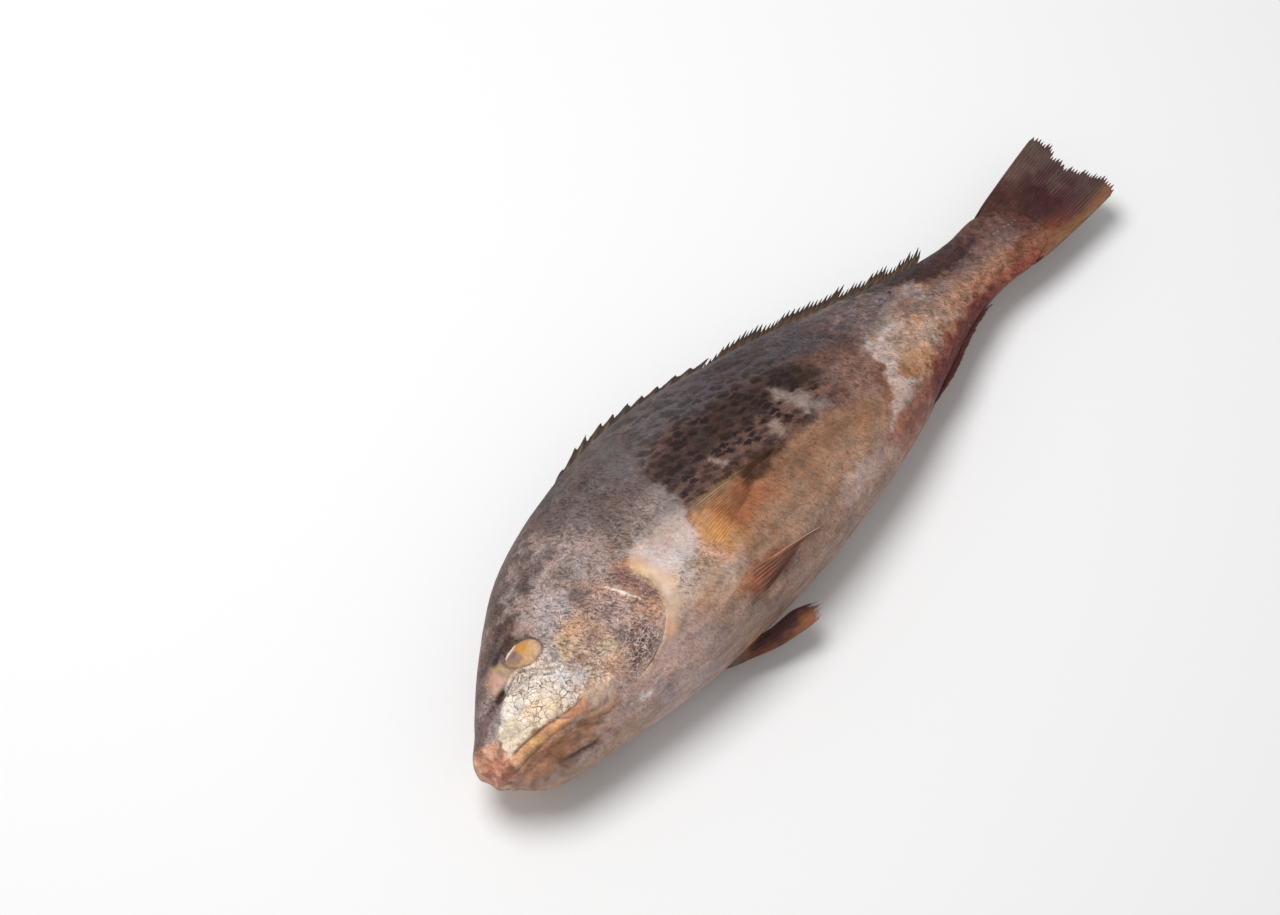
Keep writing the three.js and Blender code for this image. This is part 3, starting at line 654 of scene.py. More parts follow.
SMOOTH_PLACES = [
    (0.8, 2.0, NOSE_FOLD),
    (0.6, 2.0, BARE_JAWS),
    (0.85, 1.5, MEMBRANE),
    (0.5, 4.0, SHOULDER_BLOOM),
]
LATERAL_LINE = [(238, 6.5), (262, 4.2), (300, 3.6)]
UPPER_CHEEK = [(16, 3), (19, 9), (33, 9), (36, 4), (28, 2)]
REAR_CHEEK = [(34, -10), (36, 2), (40, 10), (48, 10), (47, -10)]
FRONT_CHEEK = [(11, 4), (27, 4), (32, -6), (12, -4)]
RED_SEAM = [(18.5, -5.2), (23.5, -6.3), (23, -6.9), (19, -6.3)]
WIDEST_TEAR = 1.7


def lay_patches(tint, x, y, place, patches, rough, seed, torn=0.95):
    """Patches laid over one another in turn, each inside its outline: broad noise bends the edges by the
    roughness, and fine noise tears them into clouds about as wide as they are soft."""
    bent_x = x + rough * fractal(place, 4, seed)
    bent_y = y + rough * fractal(place, 4, seed + 5)
    ragged = torn * fractal(place, 2.2, seed + 9, 3)
    for tone, density, soft, corners in patches:
        inside = -outside(bent_x, bent_y, corners) / soft
        cover = density * ramp(inside + ragged * min(1, WIDEST_TEAR / soft), -1, 1)
        tint = over(tint, colour(*tone), cover)
    return tint


def paint_cheek(tint, x, y, place, cheek):
    """The silvery plate below the eye: whitest along its upper part, creamy in front, greyer behind, with
    yellow stains."""
    silver = over(CREAM_TONE + 0 * place, SILVER_TONE, field(x, y, UPPER_CHEEK, 2.5))
    silver = over(silver, GREY_SILVER_TONE, field(x, y, REAR_CHEEK, 3))
    stain = ramp(fractal(place, 4, 44), 0, 0.5) * field(x, y, FRONT_CHEEK, 3)
    silver = over(silver, YELLOW_STAIN_TONE, 0.5 * stain)
    silver = over(silver, DULL_STAIN_TONE, 0.35 * ramp(fractal(place, 2.6, 45, 3), 0.15, 0.6))
    return over(tint, silver, cheek)


def paint_face(tint, x, y, place):
    """The face's lines over its patches: nostrils, cheek grooves, mouth, jaw creases, throat slit, wrinkles
    of the snout and the pale ridge of the gill cover, each along its own line or oval. The nostrils, the
    brow's line over the eye, the ring round the socket, the grooves, the mouth's line, the creases and
    the slit are painted shade; the crests of grooves, creases and wrinkles, the jaw's folds and the
    ridge are painted highlights."""
    snout = ramp(np.hypot(x - SNOUT_MIDDLE_X, y), 12, 7)
    wrinkles = snout_wrinkles(place)
    # Painted shade in the snout's wrinkles and painted highlights on their crests.
    tint = over(tint, SNOUT_FURROW_SHADE_TONE, 0.55 * snout * ramp(wrinkles, -0.05, -0.5))
    tint = over(tint, SNOUT_CREST_HIGHLIGHT_TONE, 0.5 * snout * ramp(wrinkles, 0.2, 0.6))
    # Painted shade: the nostrils' pits are dark.
    tint = over(tint, NOSTRIL_SHADE_TONE, 0.97 * ramp(oval_away(x, y, NOSTRIL), 1.25, 0.75))
    tint = over(tint, FRONT_NOSTRIL_SHADE_TONE, 0.7 * ramp(oval_away(x, y, FRONT_NOSTRIL), 1.3, 0.7))
    # Painted shadow: a dark line where the brow shades the top of the eye.
    brow_shadow, along_brow_shadow = line_away(x, y, BROW_SHADOW_LINE)
    brow_shadow_reach = ramp(along_brow_shadow, 0, 0.12) * ramp(along_brow_shadow, 1, 0.7)
    tint = over(tint, BROW_SHADOW_TONE, 0.95 * bell(brow_shadow, 0.9) * brow_shadow_reach)
    # Painted shade: a dark ring round the eye's socket.
    tint = over(tint, SOCKET_SHADE_TONE, 0.75 * bell(oval_away(x, y, EYE) - 1.06, 0.07))
    # Painted shade in each groove and a painted highlight on its crest.
    for line in CHEEK_LINES:
        groove, along = line_away(x, y, line)
        tint = over(tint, GROOVE_SHADE_TONE, 0.6 * bell(groove, 0.34) * ramp(along, 0, 0.3))
        tint = over(tint, GROOVE_CREST_HIGHLIGHT_TONE, 0.65 * bell(groove - 1, 0.45) * ramp(along, 0, 0.3))
    upper, lower = mouth_lines(x)
    # Painted shade: a thin dark line in the groove along the lip's upper edge.
    thin = 0.28 + 0.16 * noise(place, 2, 52)
    tint = over(tint, LIP_LINE_SHADE_TONE, 0.8 * ramp(x, 9, 13) * ramp(x, 40, 37) * bell(y - upper, thin))
    tint = over(tint, RED_SEAM_TONE, 0.75 * field(x, y, RED_SEAM, 0.4))
    # Painted shade in the crease at the lip's end, and a painted highlight on its edge.
    crease, along_crease = line_away(x, y, LIP_CREASE)
    tint = over(tint, LIP_LINE_SHADE_TONE, 0.5 * bell(crease, 0.3) * ramp(along_crease, 1, 0.5))
    tint = over(tint, LIP_CREST_HIGHLIGHT_TONE, 0.5 * bell(crease - 0.6, 0.3) * ramp(along_crease, 1, 0.5))
    # Painted shade in the jaw's creases and painted highlights on their crests, by the noise that also
    # raises them.
    jaw = ramp(y - lower, 0.6, -0.8) * ramp(y, -28, -21) * ramp(x, 54, 42) * ramp(x, 2, 8)
    streaks = jaw_streaks(x, y)
    tint = over(tint, JAW_CREASE_SHADE_TONE, 0.4 * jaw * ramp(streaks, -0.1, -0.5))
    tint = over(tint, JAW_CREST_HIGHLIGHT_TONE, 0.3 * jaw * ramp(streaks, 0.15, 0.55))
    # Painted highlights along the folds round the jaw's corner.
    rings, reach = jaw_folds(x, y, place)
    broken = ramp(fractal(place, 1.6, 17, 2), -0.35, 0.35)
    tint = over(tint, JAW_FOLD_HIGHLIGHT_TONE, 0.6 * rings * reach * broken * ramp(x, 43, 46.5))
    # Painted shade: a dark line in the throat slit.
    slit, along_slit = line_away(x, y, THROAT_SLIT)
    slit_reach = ramp(along_slit, 0.03, 0.25) * ramp(along_slit, 0.8, 0.5)
    tint = over(tint, SLIT_SHADE_TONE, 0.85 * bell(slit, 0.55) * slit_reach)
    rim = bell(outside(x, y, COVER_OUTLINE) - 0.5, 0.8) * ramp(y, -10, -15) * ramp(x, 52, 60)
    tint = over(tint, COVER_RIM_TONE, 0.75 * rim)
    ridge, along_ridge = line_away(x, y, GILL_COVER_RIDGE)
    width = 0.25 + 0.4 * bell(along_ridge - 0.68, 0.18)
    reach = ramp(along_ridge, 0.42, 0.52) * ramp(along_ridge, 1, 0.92)
    tint = over(tint, RIDGE_SIDE_TONE, 0.6 * bell(ridge, 1.3) * ramp(along_ridge, 0, 0.15))
    # Painted highlight along the gill cover's raised ridge.
    return over(tint, RIDGE_HIGHLIGHT_TONE, 0.9 * bell(ridge, width) * reach)


def paint_skin(x, y, place, girth):
    """Colour and masks of the skin: broad fields by height, then cloudy patches, those of the upper flank
    partly painted shadow and two on the snout and the lip painted highlights, warmer and cooler clouds,
    lines of the face with their painted shade and highlights, and masks for marks, cracks, hairs,
    coarseness, bloom and gloss."""
    back, belly, widest, _ = section(x)
    rise = np.where(y >= widest, (y - widest) / (back - widest), (y - widest) / (widest - belly))
    fine = fractal(place, 3.2, 38)
    broad = fractal(place, 10, 34)
    tint = over(TAN_TONE + 0 * place, BELLY_TONE, ramp(rise + 0.2 * broad, -0.55, -0.9))
    tint = lay_patches(tint, x, y, place, TRUNK_PATCHES, 1.2, 50)
    upper_root = 0.15 + 0.85 * ramp(y + fine, -9, 0)
    tint = over(tint, ROOT_TONE, 0.8 * ramp(x + 3 * fine, 284, BODY_LENGTH) * upper_root)
    slant = 0.8 * np.maximum(y - 30, 0)
    tint = over(tint, HEAD_TONE, ramp(x + 3 * fine + 5 * broad + slant, 88, 77) * ramp(y + 3 * fine, -6, 4))
    tint = over(tint, THROAT_TONE, ramp(x + 3 * fine, 92, 76) * ramp(y + 2 * fine, -8, -16))
    tint = over(tint, BACK_TONE, 0.9 * ramp(rise + 0.35 * broad, 0.66, 1.02) * ramp(x, 252, 230))
    tint = over(tint, CROWN_TONE, ramp(x, 90, 78) * ramp(rise + 0.25 * fine, 0.72, 1.0))
    tint = lay_patches(tint, x, y, place, FACE_PATCHES, 0.6, 60)
    tint = lay_patches(tint, x, y, place, COVER_PATCHES, 0.4, 70, 0.3)
    cheek = ramp(1.4 * fine - outside(x + 0.5 * fine, y + 0.5 * fine, CHEEK), -1.6, 1.3)
    cheek = cheek * ramp(x + 6 * fine, 51, 38)
    cheek = cheek * np.where(x < 40, ramp(y - mouth_lines(x)[0], 0, 0.6), 1)
    cheek = cheek * (1 - 0.4 * ramp(x, 35, 38) * ramp(y, 2, 5))
    tint = paint_cheek(tint, x, y, place, cheek)
    tint = paint_face(tint, x, y, place)
    lengthwise = fractal(place * np.array([0.22, 1, 1]), 2.6, 77, 3)
    low = ramp(y, -16, -22) * ramp(x, 44, 56) * ramp(x, 190, 150)
    rear = ramp(x, 190, 215) * fractal(place, 1.9, 81, 3)
    shade = 1 + 0.15 * broad + 0.16 * fine + 0.22 * low * lengthwise + 0.32 * rear
    warm = 0.13 * fractal(place, 7, 79, 2)[..., None] * np.array([0.5, -0.3, -0.9])
    tint = tint * shade[..., None] * (1 + warm)
    pores, along_line = line_away(x, y, LATERAL_LINE)
    dots = bell(pores, 0.45) * ramp(np.cos(2 * np.pi * x / 1.9) + 1.6 * fine, 0.3, 1) * ramp(x, 299, 295)
    tint = over(tint, PORE_TONE, 0.4 * dots * ramp(along_line, 0.4, 0.6))
    zone = ramp(-outside(x + 2 * fine, y + 2 * fine, SPECKLED) / 2.5, -1, 1) * ramp(rise, 1.0, 0.85)
    speckle = zone * (0.6 + 0.4 * field(x, y, SPECKLED_MOST, 6)) * (1 - 0.55 * ramp(x + 3 * fine, 176, 192))
    speckle = speckle * (1 - 0.85 * sum(field(x, y, mark, 1.5) for mark in PALE_MARKS))
    back_share = scales(x, girth)
    scaled = ramp(x, 92, 112) * ramp(x, 285, 262)
    tint = tint * (1 - 0.12 * scaled * bell(back_share - 0.98, 0.14))[..., None]
    bloom = sum(density * field(x + 4 * fine, y + 4 * fine, corners, soft)
                for density, soft, corners in BLOOMS)
    smooth = sum(density * field(x, y, corners, soft) for density, soft, corners in SMOOTH_PLACES)
    veins = ramp(np.abs(fractal(place, 6, 83, 3)), 0.11, 0)
    veins = veins + 0.7 * ramp(np.abs(fractal(place, 2.8, 84, 2)), 0.12, 0)
    veined = ramp(x, 116, 106) * ramp(y, -21, -14) * (1 - cheek) * (1 - np.clip(1.2 * smooth, 0, 1))
    tint = over(tint, VEIN_TONE, 0.4 * veins * veined)
    gilled = field(x, y, CRACKLED, 3) * (1 - cheek)
    crowned = ramp(x, 92, 80) * ramp(y, 6, 14)
    crackle = cheek * (0.35 + 0.65 * ramp(x, 15, 28)) + (0.5 * gilled + 0.3 * crowned) * (1 - smooth)
    coarse = 0.52 + 0.5 * ramp(x, 116, 98) * ramp(y, -20, -8) + 0.12 * gilled
    coarse = coarse + 0.3 * ramp(x, 200, 230) + 0.35 * zone * ramp(x, 174, 190)
    coarse = coarse * (1 - np.clip(smooth, 0, 1)) * (1 - 0.5 * cheek)
    gloss = cheek + 0.45 * ramp(x, 60, 40) * ramp(y, 0, -6) + 0.2 * ramp(rise, -0.3, -0.8)
    gloss = gloss - 0.5 * bloom + 0.35 * ramp(x, 92, 74)
    masks = {
        "gloss": np.clip(gloss, 0, 1),
        "bloom": bloom,
        "speckle": speckle,
        "crackle": crackle,
        "coarse": coarse,
        "hairs": field(x, y, FUZZ, 2.5) + 0.5 * field(x, y, JAW_CORNER, 2.5),
    }
    return np.clip(tint, DARKEST, 1), masks


def rings_mesh(name, rings):
    """A closed mesh from rows of ring points in millimetres: four-cornered faces between neighbours and
    a fan to the middle of each end ring. Faces are turned round if the volume comes out negative."""
    rows, count, _ = rings.shape
    points = np.concatenate([rings.reshape(-1, 3), rings[:1].mean(axis=1), rings[-1:].mean(axis=1)])
    index = np.arange(rows * count).reshape(rows, count)
    after = np.roll(index, -1, axis=1)
    quads = np.stack([index[:-1], index[1:], after[1:], after[:-1]], axis=-1).reshape(-1, 4)
    first = np.stack([index[0] * 0 + rows * count, index[0], after[0]], axis=-1)
    last = np.stack([index[0] * 0 + rows * count + 1, after[-1], index[-1]], axis=-1)
    fans = np.concatenate([first, last])
    triangles = np.concatenate([quads[:, [0, 1, 2]], quads[:, [0, 2, 3]], fans])
    a, b, c = (points[triangles[:, corner]] for corner in range(3))
    if np.sum(a * np.cross(b, c)) < 0:
        quads, fans = quads[:, ::-1], fans[:, ::-1]
    mesh = bpy.data.meshes.new(name)
    mesh.from_pydata((points * MM).tolist(), [], quads.tolist() + fans.tolist())
    mesh.polygons.foreach_set("use_smooth", np.ones(len(mesh.polygons), bool))
    return mesh


def with_ends(values):
    """Values of the ring points as one list, with the means of the end rings for the two fan points."""
    flat = values.reshape(values.shape[0] * values.shape[1], -1)
    ends = [values[row].reshape(values.shape[1], -1).mean(axis=0) for row in (0, -1)]
    return np.concatenate([flat, ends])


def add_piece(name, rings, tint, material, slot, **masks):
    """Puts a closed piece into the scene with its colour and masks on its points, on the fish's body and
    in the solid's stead."""
    mesh = rings_mesh(name, rings)
    tints = np.concatenate([with_ends(tint), np.ones((rings.shape[0] * rings.shape[1] + 2, 1))], axis=1)
    mesh.color_attributes.new("tint", "FLOAT_COLOR", "POINT").data.foreach_set("color", tints.ravel())
    for key, values in masks.items():
        mesh.attributes.new(key, "FLOAT", "POINT").data.foreach_set("value", with_ends(values).ravel())
    mesh.materials.append(material)
    piece = bpy.data.objects.new(name, mesh)
    bpy.context.scene.collection.objects.link(piece)
    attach(piece, "root")
    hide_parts("croaker")
    return piece


def add_node(tree, kind, inputs, **options):
    """Adds a shader node: options are its own settings, inputs are numbers or other nodes' sockets."""
    made = tree.nodes.new(kind)
    for key, value in options.items():
        setattr(made, key, value)
    for key, value in inputs.items():
        if isinstance(value, bpy.types.NodeSocket):
            tree.links.new(value, made.inputs[key])
        else:
            made.inputs[key].default_value = value
    return made


def start_material(name):
    """A node material with its shader joined to its output; returns it, its tree and its shader."""
    material = bpy.data.materials.new(name)
    material.use_nodes = True
    return material, material.node_tree, material.node_tree.nodes["Principled BSDF"]


def painted(tree, key, output="Fac"):
    """What a piece's points carry under that name, for its shader."""
    return add_node(tree, "ShaderNodeAttribute", {}, attribute_name=key).outputs[output]


def reckon(tree, kind, *values):
    """One sum or product of numbers or sockets in a shader."""
    return add_node(tree, "ShaderNodeMath", dict(enumerate(values)), operation=kind).outputs[0]


def drawn_out(tree, value, low, high, at_low, at_high, step="LINEAR"):
    """A value from low to high drawn out to run from at_low to at_high, straight or in a smooth step."""
    inputs = {"Value": value, 1: low, 2: high, 3: at_low, 4: at_high}
    return add_node(tree, "ShaderNodeMapRange", inputs, interpolation_type=step).outputs[0]


def laid_over(tree, cover, under, tone):
    """A tone laid over another as densely as cover says, from 0 to 1, in a shader."""
    return add_node(tree, "ShaderNodeMix", {0: cover, 6: under, 7: tone}, data_type="RGBA").outputs[2]


def dimmed(tree, tint, shade):
    """A tint times a shade, in a shader."""
    return add_node(tree, "ShaderNodeVectorMath", {0: tint, "Scale": shade}, operation="SCALE").outputs[0]


def clouds(tree, where, scale, detail, roughness):
    """Layers of noise in a shader, each finer one weaker by the roughness."""
    inputs = {"Vector": where, "Scale": scale, "Detail": detail, "Roughness": roughness}
    return add_node(tree, "ShaderNodeTexNoise", inputs)


def cell_edges(tree, where, scale):
    """How far off the nearest border between strewn cells is, in a shader."""
    inputs = {"Vector": where, "Scale": scale}
    return add_node(tree, "ShaderNodeTexVoronoi", inputs, feature="DISTANCE_TO_EDGE").outputs["Distance"]


def leaning(tree, where, lean, size):
    """Places turned by a lean and measured in a size, so that a pattern on them is drawn out that way."""
    inputs = {"Vector": where, "Rotation": (0, 0, lean), "Scale": size}
    return add_node(tree, "ShaderNodeMapping", inputs, vector_type="TEXTURE").outputs[0]


def add_bumps(tree, shader, height, strength, depth):
    """Gives a shader the small unevenness of a height."""
    bumps = add_node(tree, "ShaderNodeBump", {"Height": height, "Strength": strength, "Distance": depth})
    tree.links.new(bumps.outputs[0], shader.inputs["Normal"])


DRIFT_SCALE, DRIFT_REACH = 260, (0.005, 0.005, 0.005)
PIT_SCALE, CRACK_SCALE, GRAIN_SCALE = 800, 400, 760
STROKE_LEAN, STROKE_SIZE = -1.1, (0.0026, 0.0006, 0.001)
DASH_LEAN, DASH_SIZE, DASH_STRAY = -0.38, (0.0056, 0.0025, 0.003), 0.85
HAIR_LEAN, HAIR_SCALE = 0.5, (420, 900, 600)
DRY_GAIN, DRY_LIFT = (1.38, 1.42, 1.46), (0.026, 0.025, 0.026)
CRACK_TONE = (*colour(92, 68, 57), 1)
HAIR_TONE = (*colour(214, 196, 188), 1)
DASH_TONE = (*colour(30, 11, 8), 1)
FROST_TONE = (*colour(204, 188, 183), 1)
SKIN_MASKS = ("gloss", "bloom", "speckle", "crackle", "coarse", "hairs")
SKIN_BUMPS, SKIN_BUMP_DEPTH, DRIED_SHEEN = 0.5, 0.0004, 0.25


def skin_material():
    """Dried skin: the painted tint in dark and pale leaning strokes where it is coarse, then hair cracks
    where it is crackled, pale hairs where it is hairy, dark dashes in leaning rows where it is speckled and
    powder where bloom lies; strokes and cracks are bumps too."""
    material, tree, shader = start_material("dried_skin")
    where = add_node(tree, "ShaderNodeTexCoord", {}).outputs["Object"]
    tint = painted(tree, "tint", "Color")
    masks = {key: painted(tree, key) for key in SKIN_MASKS}
    drift = clouds(tree, where, DRIFT_SCALE, 4, 0.6)
    centred = add_node(tree, "ShaderNodeVectorMath", {0: drift.outputs["Color"], 1: (0.5, 0.5, 0.5)},
                       operation="SUBTRACT").outputs[0]
    warped = add_node(tree, "ShaderNodeVectorMath", {0: centred, 1: DRIFT_REACH, 2: where},
                      operation="MULTIPLY_ADD").outputs[0]
    pits = clouds(tree, warped, PIT_SCALE, 6, 0.7).outputs["Fac"]
    strokes = clouds(tree, leaning(tree, warped, STROKE_LEAN, STROKE_SIZE), 1, 3, 0.55).outputs["Fac"]
    cells = cell_edges(tree, warped, CRACK_SCALE)
    grain = cell_edges(tree, warped, GRAIN_SCALE)

    in_seams = reckon(tree, "MULTIPLY_ADD", masks["coarse"], -0.22, 1.03)
    on_ridges = reckon(tree, "MULTIPLY_ADD", masks["coarse"], 0.12, 1.06)
    by_grain = drawn_out(tree, grain, 0, 0.2, in_seams, on_ridges)
    darkest = reckon(tree, "MULTIPLY_ADD", masks["coarse"], -0.6, 1.04)
    by_strokes = drawn_out(tree, strokes, 0.33, 0.5, darkest, 1.08, "SMOOTHSTEP")
    shade = reckon(tree, "MULTIPLY", by_strokes, by_grain)
    pale_strokes = drawn_out(tree, strokes, 0.5, 0.68, 0, 1, "SMOOTHSTEP")
    on_crests = drawn_out(tree, grain, 0.02, 0.2, 0.5, 1)
    dry = reckon(tree, "MULTIPLY", reckon(tree, "MULTIPLY", pale_strokes, on_crests), masks["coarse"])
    lifted = add_node(tree, "ShaderNodeVectorMath", {0: tint, 1: DRY_GAIN, 2: DRY_LIFT},
                      operation="MULTIPLY_ADD").outputs[0]
    tone = laid_over(tree, dry, dimmed(tree, tint, shade), lifted)

    line = drawn_out(tree, cells, 0, 0.09, 0.95, 0, "SMOOTHSTEP")
    broken = drawn_out(tree, drift.outputs["Fac"], 0.38, 0.54, 0.3, 1)
    crackle = reckon(tree, "MULTIPLY", reckon(tree, "MULTIPLY", line, broken), masks["crackle"])
    tone = laid_over(tree, crackle, tone, CRACK_TONE)

    strands = add_node(tree, "ShaderNodeMapping",
                       {"Vector": warped, "Rotation": (0, 0, HAIR_LEAN), "Scale": HAIR_SCALE})
    thread = drawn_out(tree, cell_edges(tree, strands.outputs[0], 1), 0, 0.1, 0.9, 0, "SMOOTHSTEP")
    hair = reckon(tree, "MULTIPLY", reckon(tree, "MULTIPLY", thread, masks["hairs"]), broken)
    tone = laid_over(tree, hair, tone, HAIR_TONE)

    rows = leaning(tree, warped, DASH_LEAN, DASH_SIZE)
    dashes = add_node(tree, "ShaderNodeTexVoronoi", {"Vector": rows, "Scale": 1, "Randomness": DASH_STRAY},
                      voronoi_dimensions="2D")
    ragged = reckon(tree, "MULTIPLY_ADD", pits, 0.6, dashes.outputs["Distance"])
    near = drawn_out(tree, ragged, 0.52, 0.92, 1, 0, "SMOOTHSTEP")
    strength = drawn_out(tree, dashes.outputs["Color"], 0.2, 0.6, 0.6, 1)
    dash = reckon(tree, "MULTIPLY", reckon(tree, "MULTIPLY", near, strength), masks["speckle"])
    tone = laid_over(tree, dash, tone, DASH_TONE)

    dust = reckon(tree, "MULTIPLY_ADD", pits, 1.4, masks["bloom"])
    tone = laid_over(tree, drawn_out(tree, dust, 1, 1.75, 0, 0.6, "SMOOTHSTEP"), tone, FROST_TONE)
    tree.links.new(tone, shader.inputs["Base Color"])
    dull = drawn_out(tree, pits, 0.35, 0.7, 0.64, 0.46)
    rough = reckon(tree, "MULTIPLY_ADD", masks["gloss"], -0.2, dull)
    tree.links.new(rough, shader.inputs["Roughness"])
    height = reckon(tree, "MULTIPLY_ADD", crackle, -0.4, shade)
    add_bumps(tree, shader, height, SKIN_BUMPS, SKIN_BUMP_DEPTH)
    shader.inputs["Specular IOR Level"].default_value = DRIED_SHEEN
    return material


BODY_RINGS, RING_POINTS = 440, 226
HEAD_SPACING, TRUNK_SPACING = 0.45, 0.9
FLANK_CROWDING = 0.42
PRESSED_SOFTNESS, PRESSED_UP_TO = 0.7, 12


def body_places():
    """Where the rings and their points are: rings an even way apart along the back, closer over the
    head, and points crowded on the left flank and evened out round the full belly."""
    fine = np.linspace(0.002, BODY_LENGTH, 6000)
    spacing = HEAD_SPACING + (TRUNK_SPACING - HEAD_SPACING) * ramp(fine, 70, 115)
    steps = np.hypot(np.gradient(fine), np.gradient(section(fine)[0])) / spacing
    way = np.cumsum(steps) - steps[0]
    x = np.interp(np.linspace(0, way[-1], BODY_RINGS), way, fine)[:, None]
    share = np.arange(RING_POINTS) / RING_POINTS
    angle = 2 * np.pi * share - FLANK_CROWDING * np.sin(2 * np.pi * share)
    side = np.sign(np.cos(angle)) * np.abs(np.cos(angle)) ** (1 / belly_power(x))
    turn = np.where(np.sin(angle) >= 0, angle, -np.arccos(np.clip(side, -1, 1)))
    return x + 0 * turn, turn


def press_flat(points):
    """Presses what would lie below the floor up to it: height becomes half of itself plus its length
    with a small softness, which is smooth, never below nothing and soon itself again."""
    z = points[..., 2]
    pressed = 0.5 * (z + np.hypot(z, PRESSED_SOFTNESS))
    return np.concatenate([points[..., :2], np.where(z > PRESSED_UP_TO, z, pressed)[..., None]], axis=-1)


skin_finish = skin_material()
body_x, body_turn = body_places()
body_y = flank_height(body_x, body_turn)
smooth_skin = skin(body_x, body_turn)
girth_steps = np.linalg.norm(np.diff(smooth_skin, axis=1, append=smooth_skin[:, :1]), axis=-1)
body_girth = np.cumsum(girth_steps, axis=1) - girth_steps
fade = np.minimum(1, np.abs(np.cos(body_turn)) / RELIEF_FADE) * ramp(body_x, 0, RELIEF_FROM)
body_relief = head_relief(body_x, body_y, smooth_skin) * fade * ramp(body_x, 130, 100)
body_relief += trunk_relief(body_x, body_y, body_girth, smooth_skin) * ramp(body_x, 0, 30)
body_relief += snout_swell(body_x, body_turn)
body_points = smooth_skin + skin_normal(body_x, body_turn) * body_relief[..., None]
body_tint, body_masks = paint_skin(body_x, body_y, smooth_skin, body_girth)
add_piece("body_skin", press_flat(body_points), body_tint, skin_finish, "dried_skin", **body_masks)

# Gill covers: a thin bony plate on each side of the head, under bare skin, hinged at its front.
# Its free rear edge stands a little off the pale membrane that closes the gill opening.
COVER_FRONT_X, COVER_FRONT_TOP, COVER_FRONT_LOW = 43, 6, -12
COVER_COLUMNS, COVER_STEPS = 190, 120
COVER_SUNK, COVER_RISE, COVER_THICKNESS = 1.1, 1.5, 0.5
RIM_RAGGED, RIM_ROUND, RIDGE_HEIGHT, COVER_CREASES = 0.4, 0.03, 0.5, 0.3


def gill_cover(side):
    """The plate as a ring carried along its rim: out from a line at its front over the upper face to the
    rim and back below it, sunk in the skin in front and lifted off it towards the rear. Returns points,
    x, y and place on the smooth skin."""
    share = np.linspace(0, 1, COVER_COLUMNS)[:, None]
    out = np.linspace(0, 1, COVER_STEPS)[None, :] ** 0.8
    rim = np.column_stack([np.linspace(0, 1, len(COVER_RIM)), COVER_RIM])
    ragged = RIM_RAGGED * fractal(np.stack([60 * share, 0 * share, 0 * share + side], axis=-1), 6, 60, 3)
    rim_x, rim_y = curve(share, rim, 1) + ragged, curve(share, rim, 2)
    front_y = COVER_FRONT_TOP + (COVER_FRONT_LOW - COVER_FRONT_TOP) * share
    x = COVER_FRONT_X + (rim_x - COVER_FRONT_X) * out
    y = front_y + (rim_y - front_y) * out
    around = turn_at(x, y, side)
    place = skin(x, around)
    lift = COVER_RISE * ramp(x, 40, 68) - COVER_SUNK + bare_skin(place)
    ridge, along_ridge = line_away(x, y, GILL_COVER_RIDGE)
    lift += RIDGE_HEIGHT * bell(ridge, 0.7) * ramp(along_ridge, 0.3, 0.5) * ramp(along_ridge, 1, 0.85)
    creases = bell(cracks(place * np.array([0.6, 1, 1]), 3.2, 62), 0.14)
    lift += COVER_CREASES * creases * ramp(x, 56, 64)
    edge = COVER_THICKNESS * np.sqrt(np.clip((1 - out) / RIM_ROUND, 0, 1))
    normal = skin_normal(x, around)
    upper = place + normal * (lift - COVER_THICKNESS + edge)[..., None]
    lower = place + normal * (lift - COVER_THICKNESS)[..., None]
    return np.concatenate([upper, lower[:, ::-1]], axis=1), x, y, place


def both_faces(values):
    """Values of a blade's upper face, and the same again for its lower face, back from rim to root."""
    return np.concatenate([values, values[:, ::-1]], axis=1)


for side_name, side in (("left", 1), ("right", -1)):
    cover_points, cover_x, cover_y, cover_place = gill_cover(side)
    cover_tint, cover_masks = paint_skin(cover_x, cover_y, cover_place, 0 * cover_x)
    cover_masks = {key: both_faces(values) for key, values in cover_masks.items()}
    add_piece(f"gill_cover_{side_name}", press_flat(cover_points), both_faces(cover_tint), skin_finish,
              "dried_skin", **cover_masks)

# Eyes: the shrunken eyeballs, clouded and leathery, sunk in their sockets under the brow.
# A milky pupil lies off the middle in a golden iris, and the wet-looking film has dried to a gloss.
EYE_COLUMNS, EYE_STEPS = 96, 40
EYE_DOME, EYE_BACK, EYE_TIP = 0.6, 3.6, 0.5
PUPIL = (35.4, 17.2, 2.6, 3.0, 8)
IRIS_GLOW = [(37.6, 20.8), (39.8, 20.6), (41.8, 17.6), (41, 14.6), (38.8, 13.6), (37.8, 16.4)]
PUPIL_SHADE = (36.4, 17.9, 1.3, 1.2, 0)
IRIS_TONE, GLOW_TONE = colour(194, 152, 104), colour(206, 142, 62)
# The rim tone is the eye's own browner edge together with painted shade where the eye meets its socket.
RING_TONE, RIM_TONE = colour(184, 142, 104), colour(138, 104, 82)
PUPIL_TONE, PUPIL_SHADE_TONE = colour(146, 116, 106), colour(126, 100, 90)
GLINT_Y, GLINT_TONE = 20.1, colour(250, 240, 230)
EYE_CLOUD_SCALE, EYE_BUMPS, EYE_BUMP_DEPTH = 700, 0.25, 0.0005
EYE_ROUGHNESS, EYE_FILM, EYE_FILM_ROUGHNESS = 0.45, 0.15, 0.3


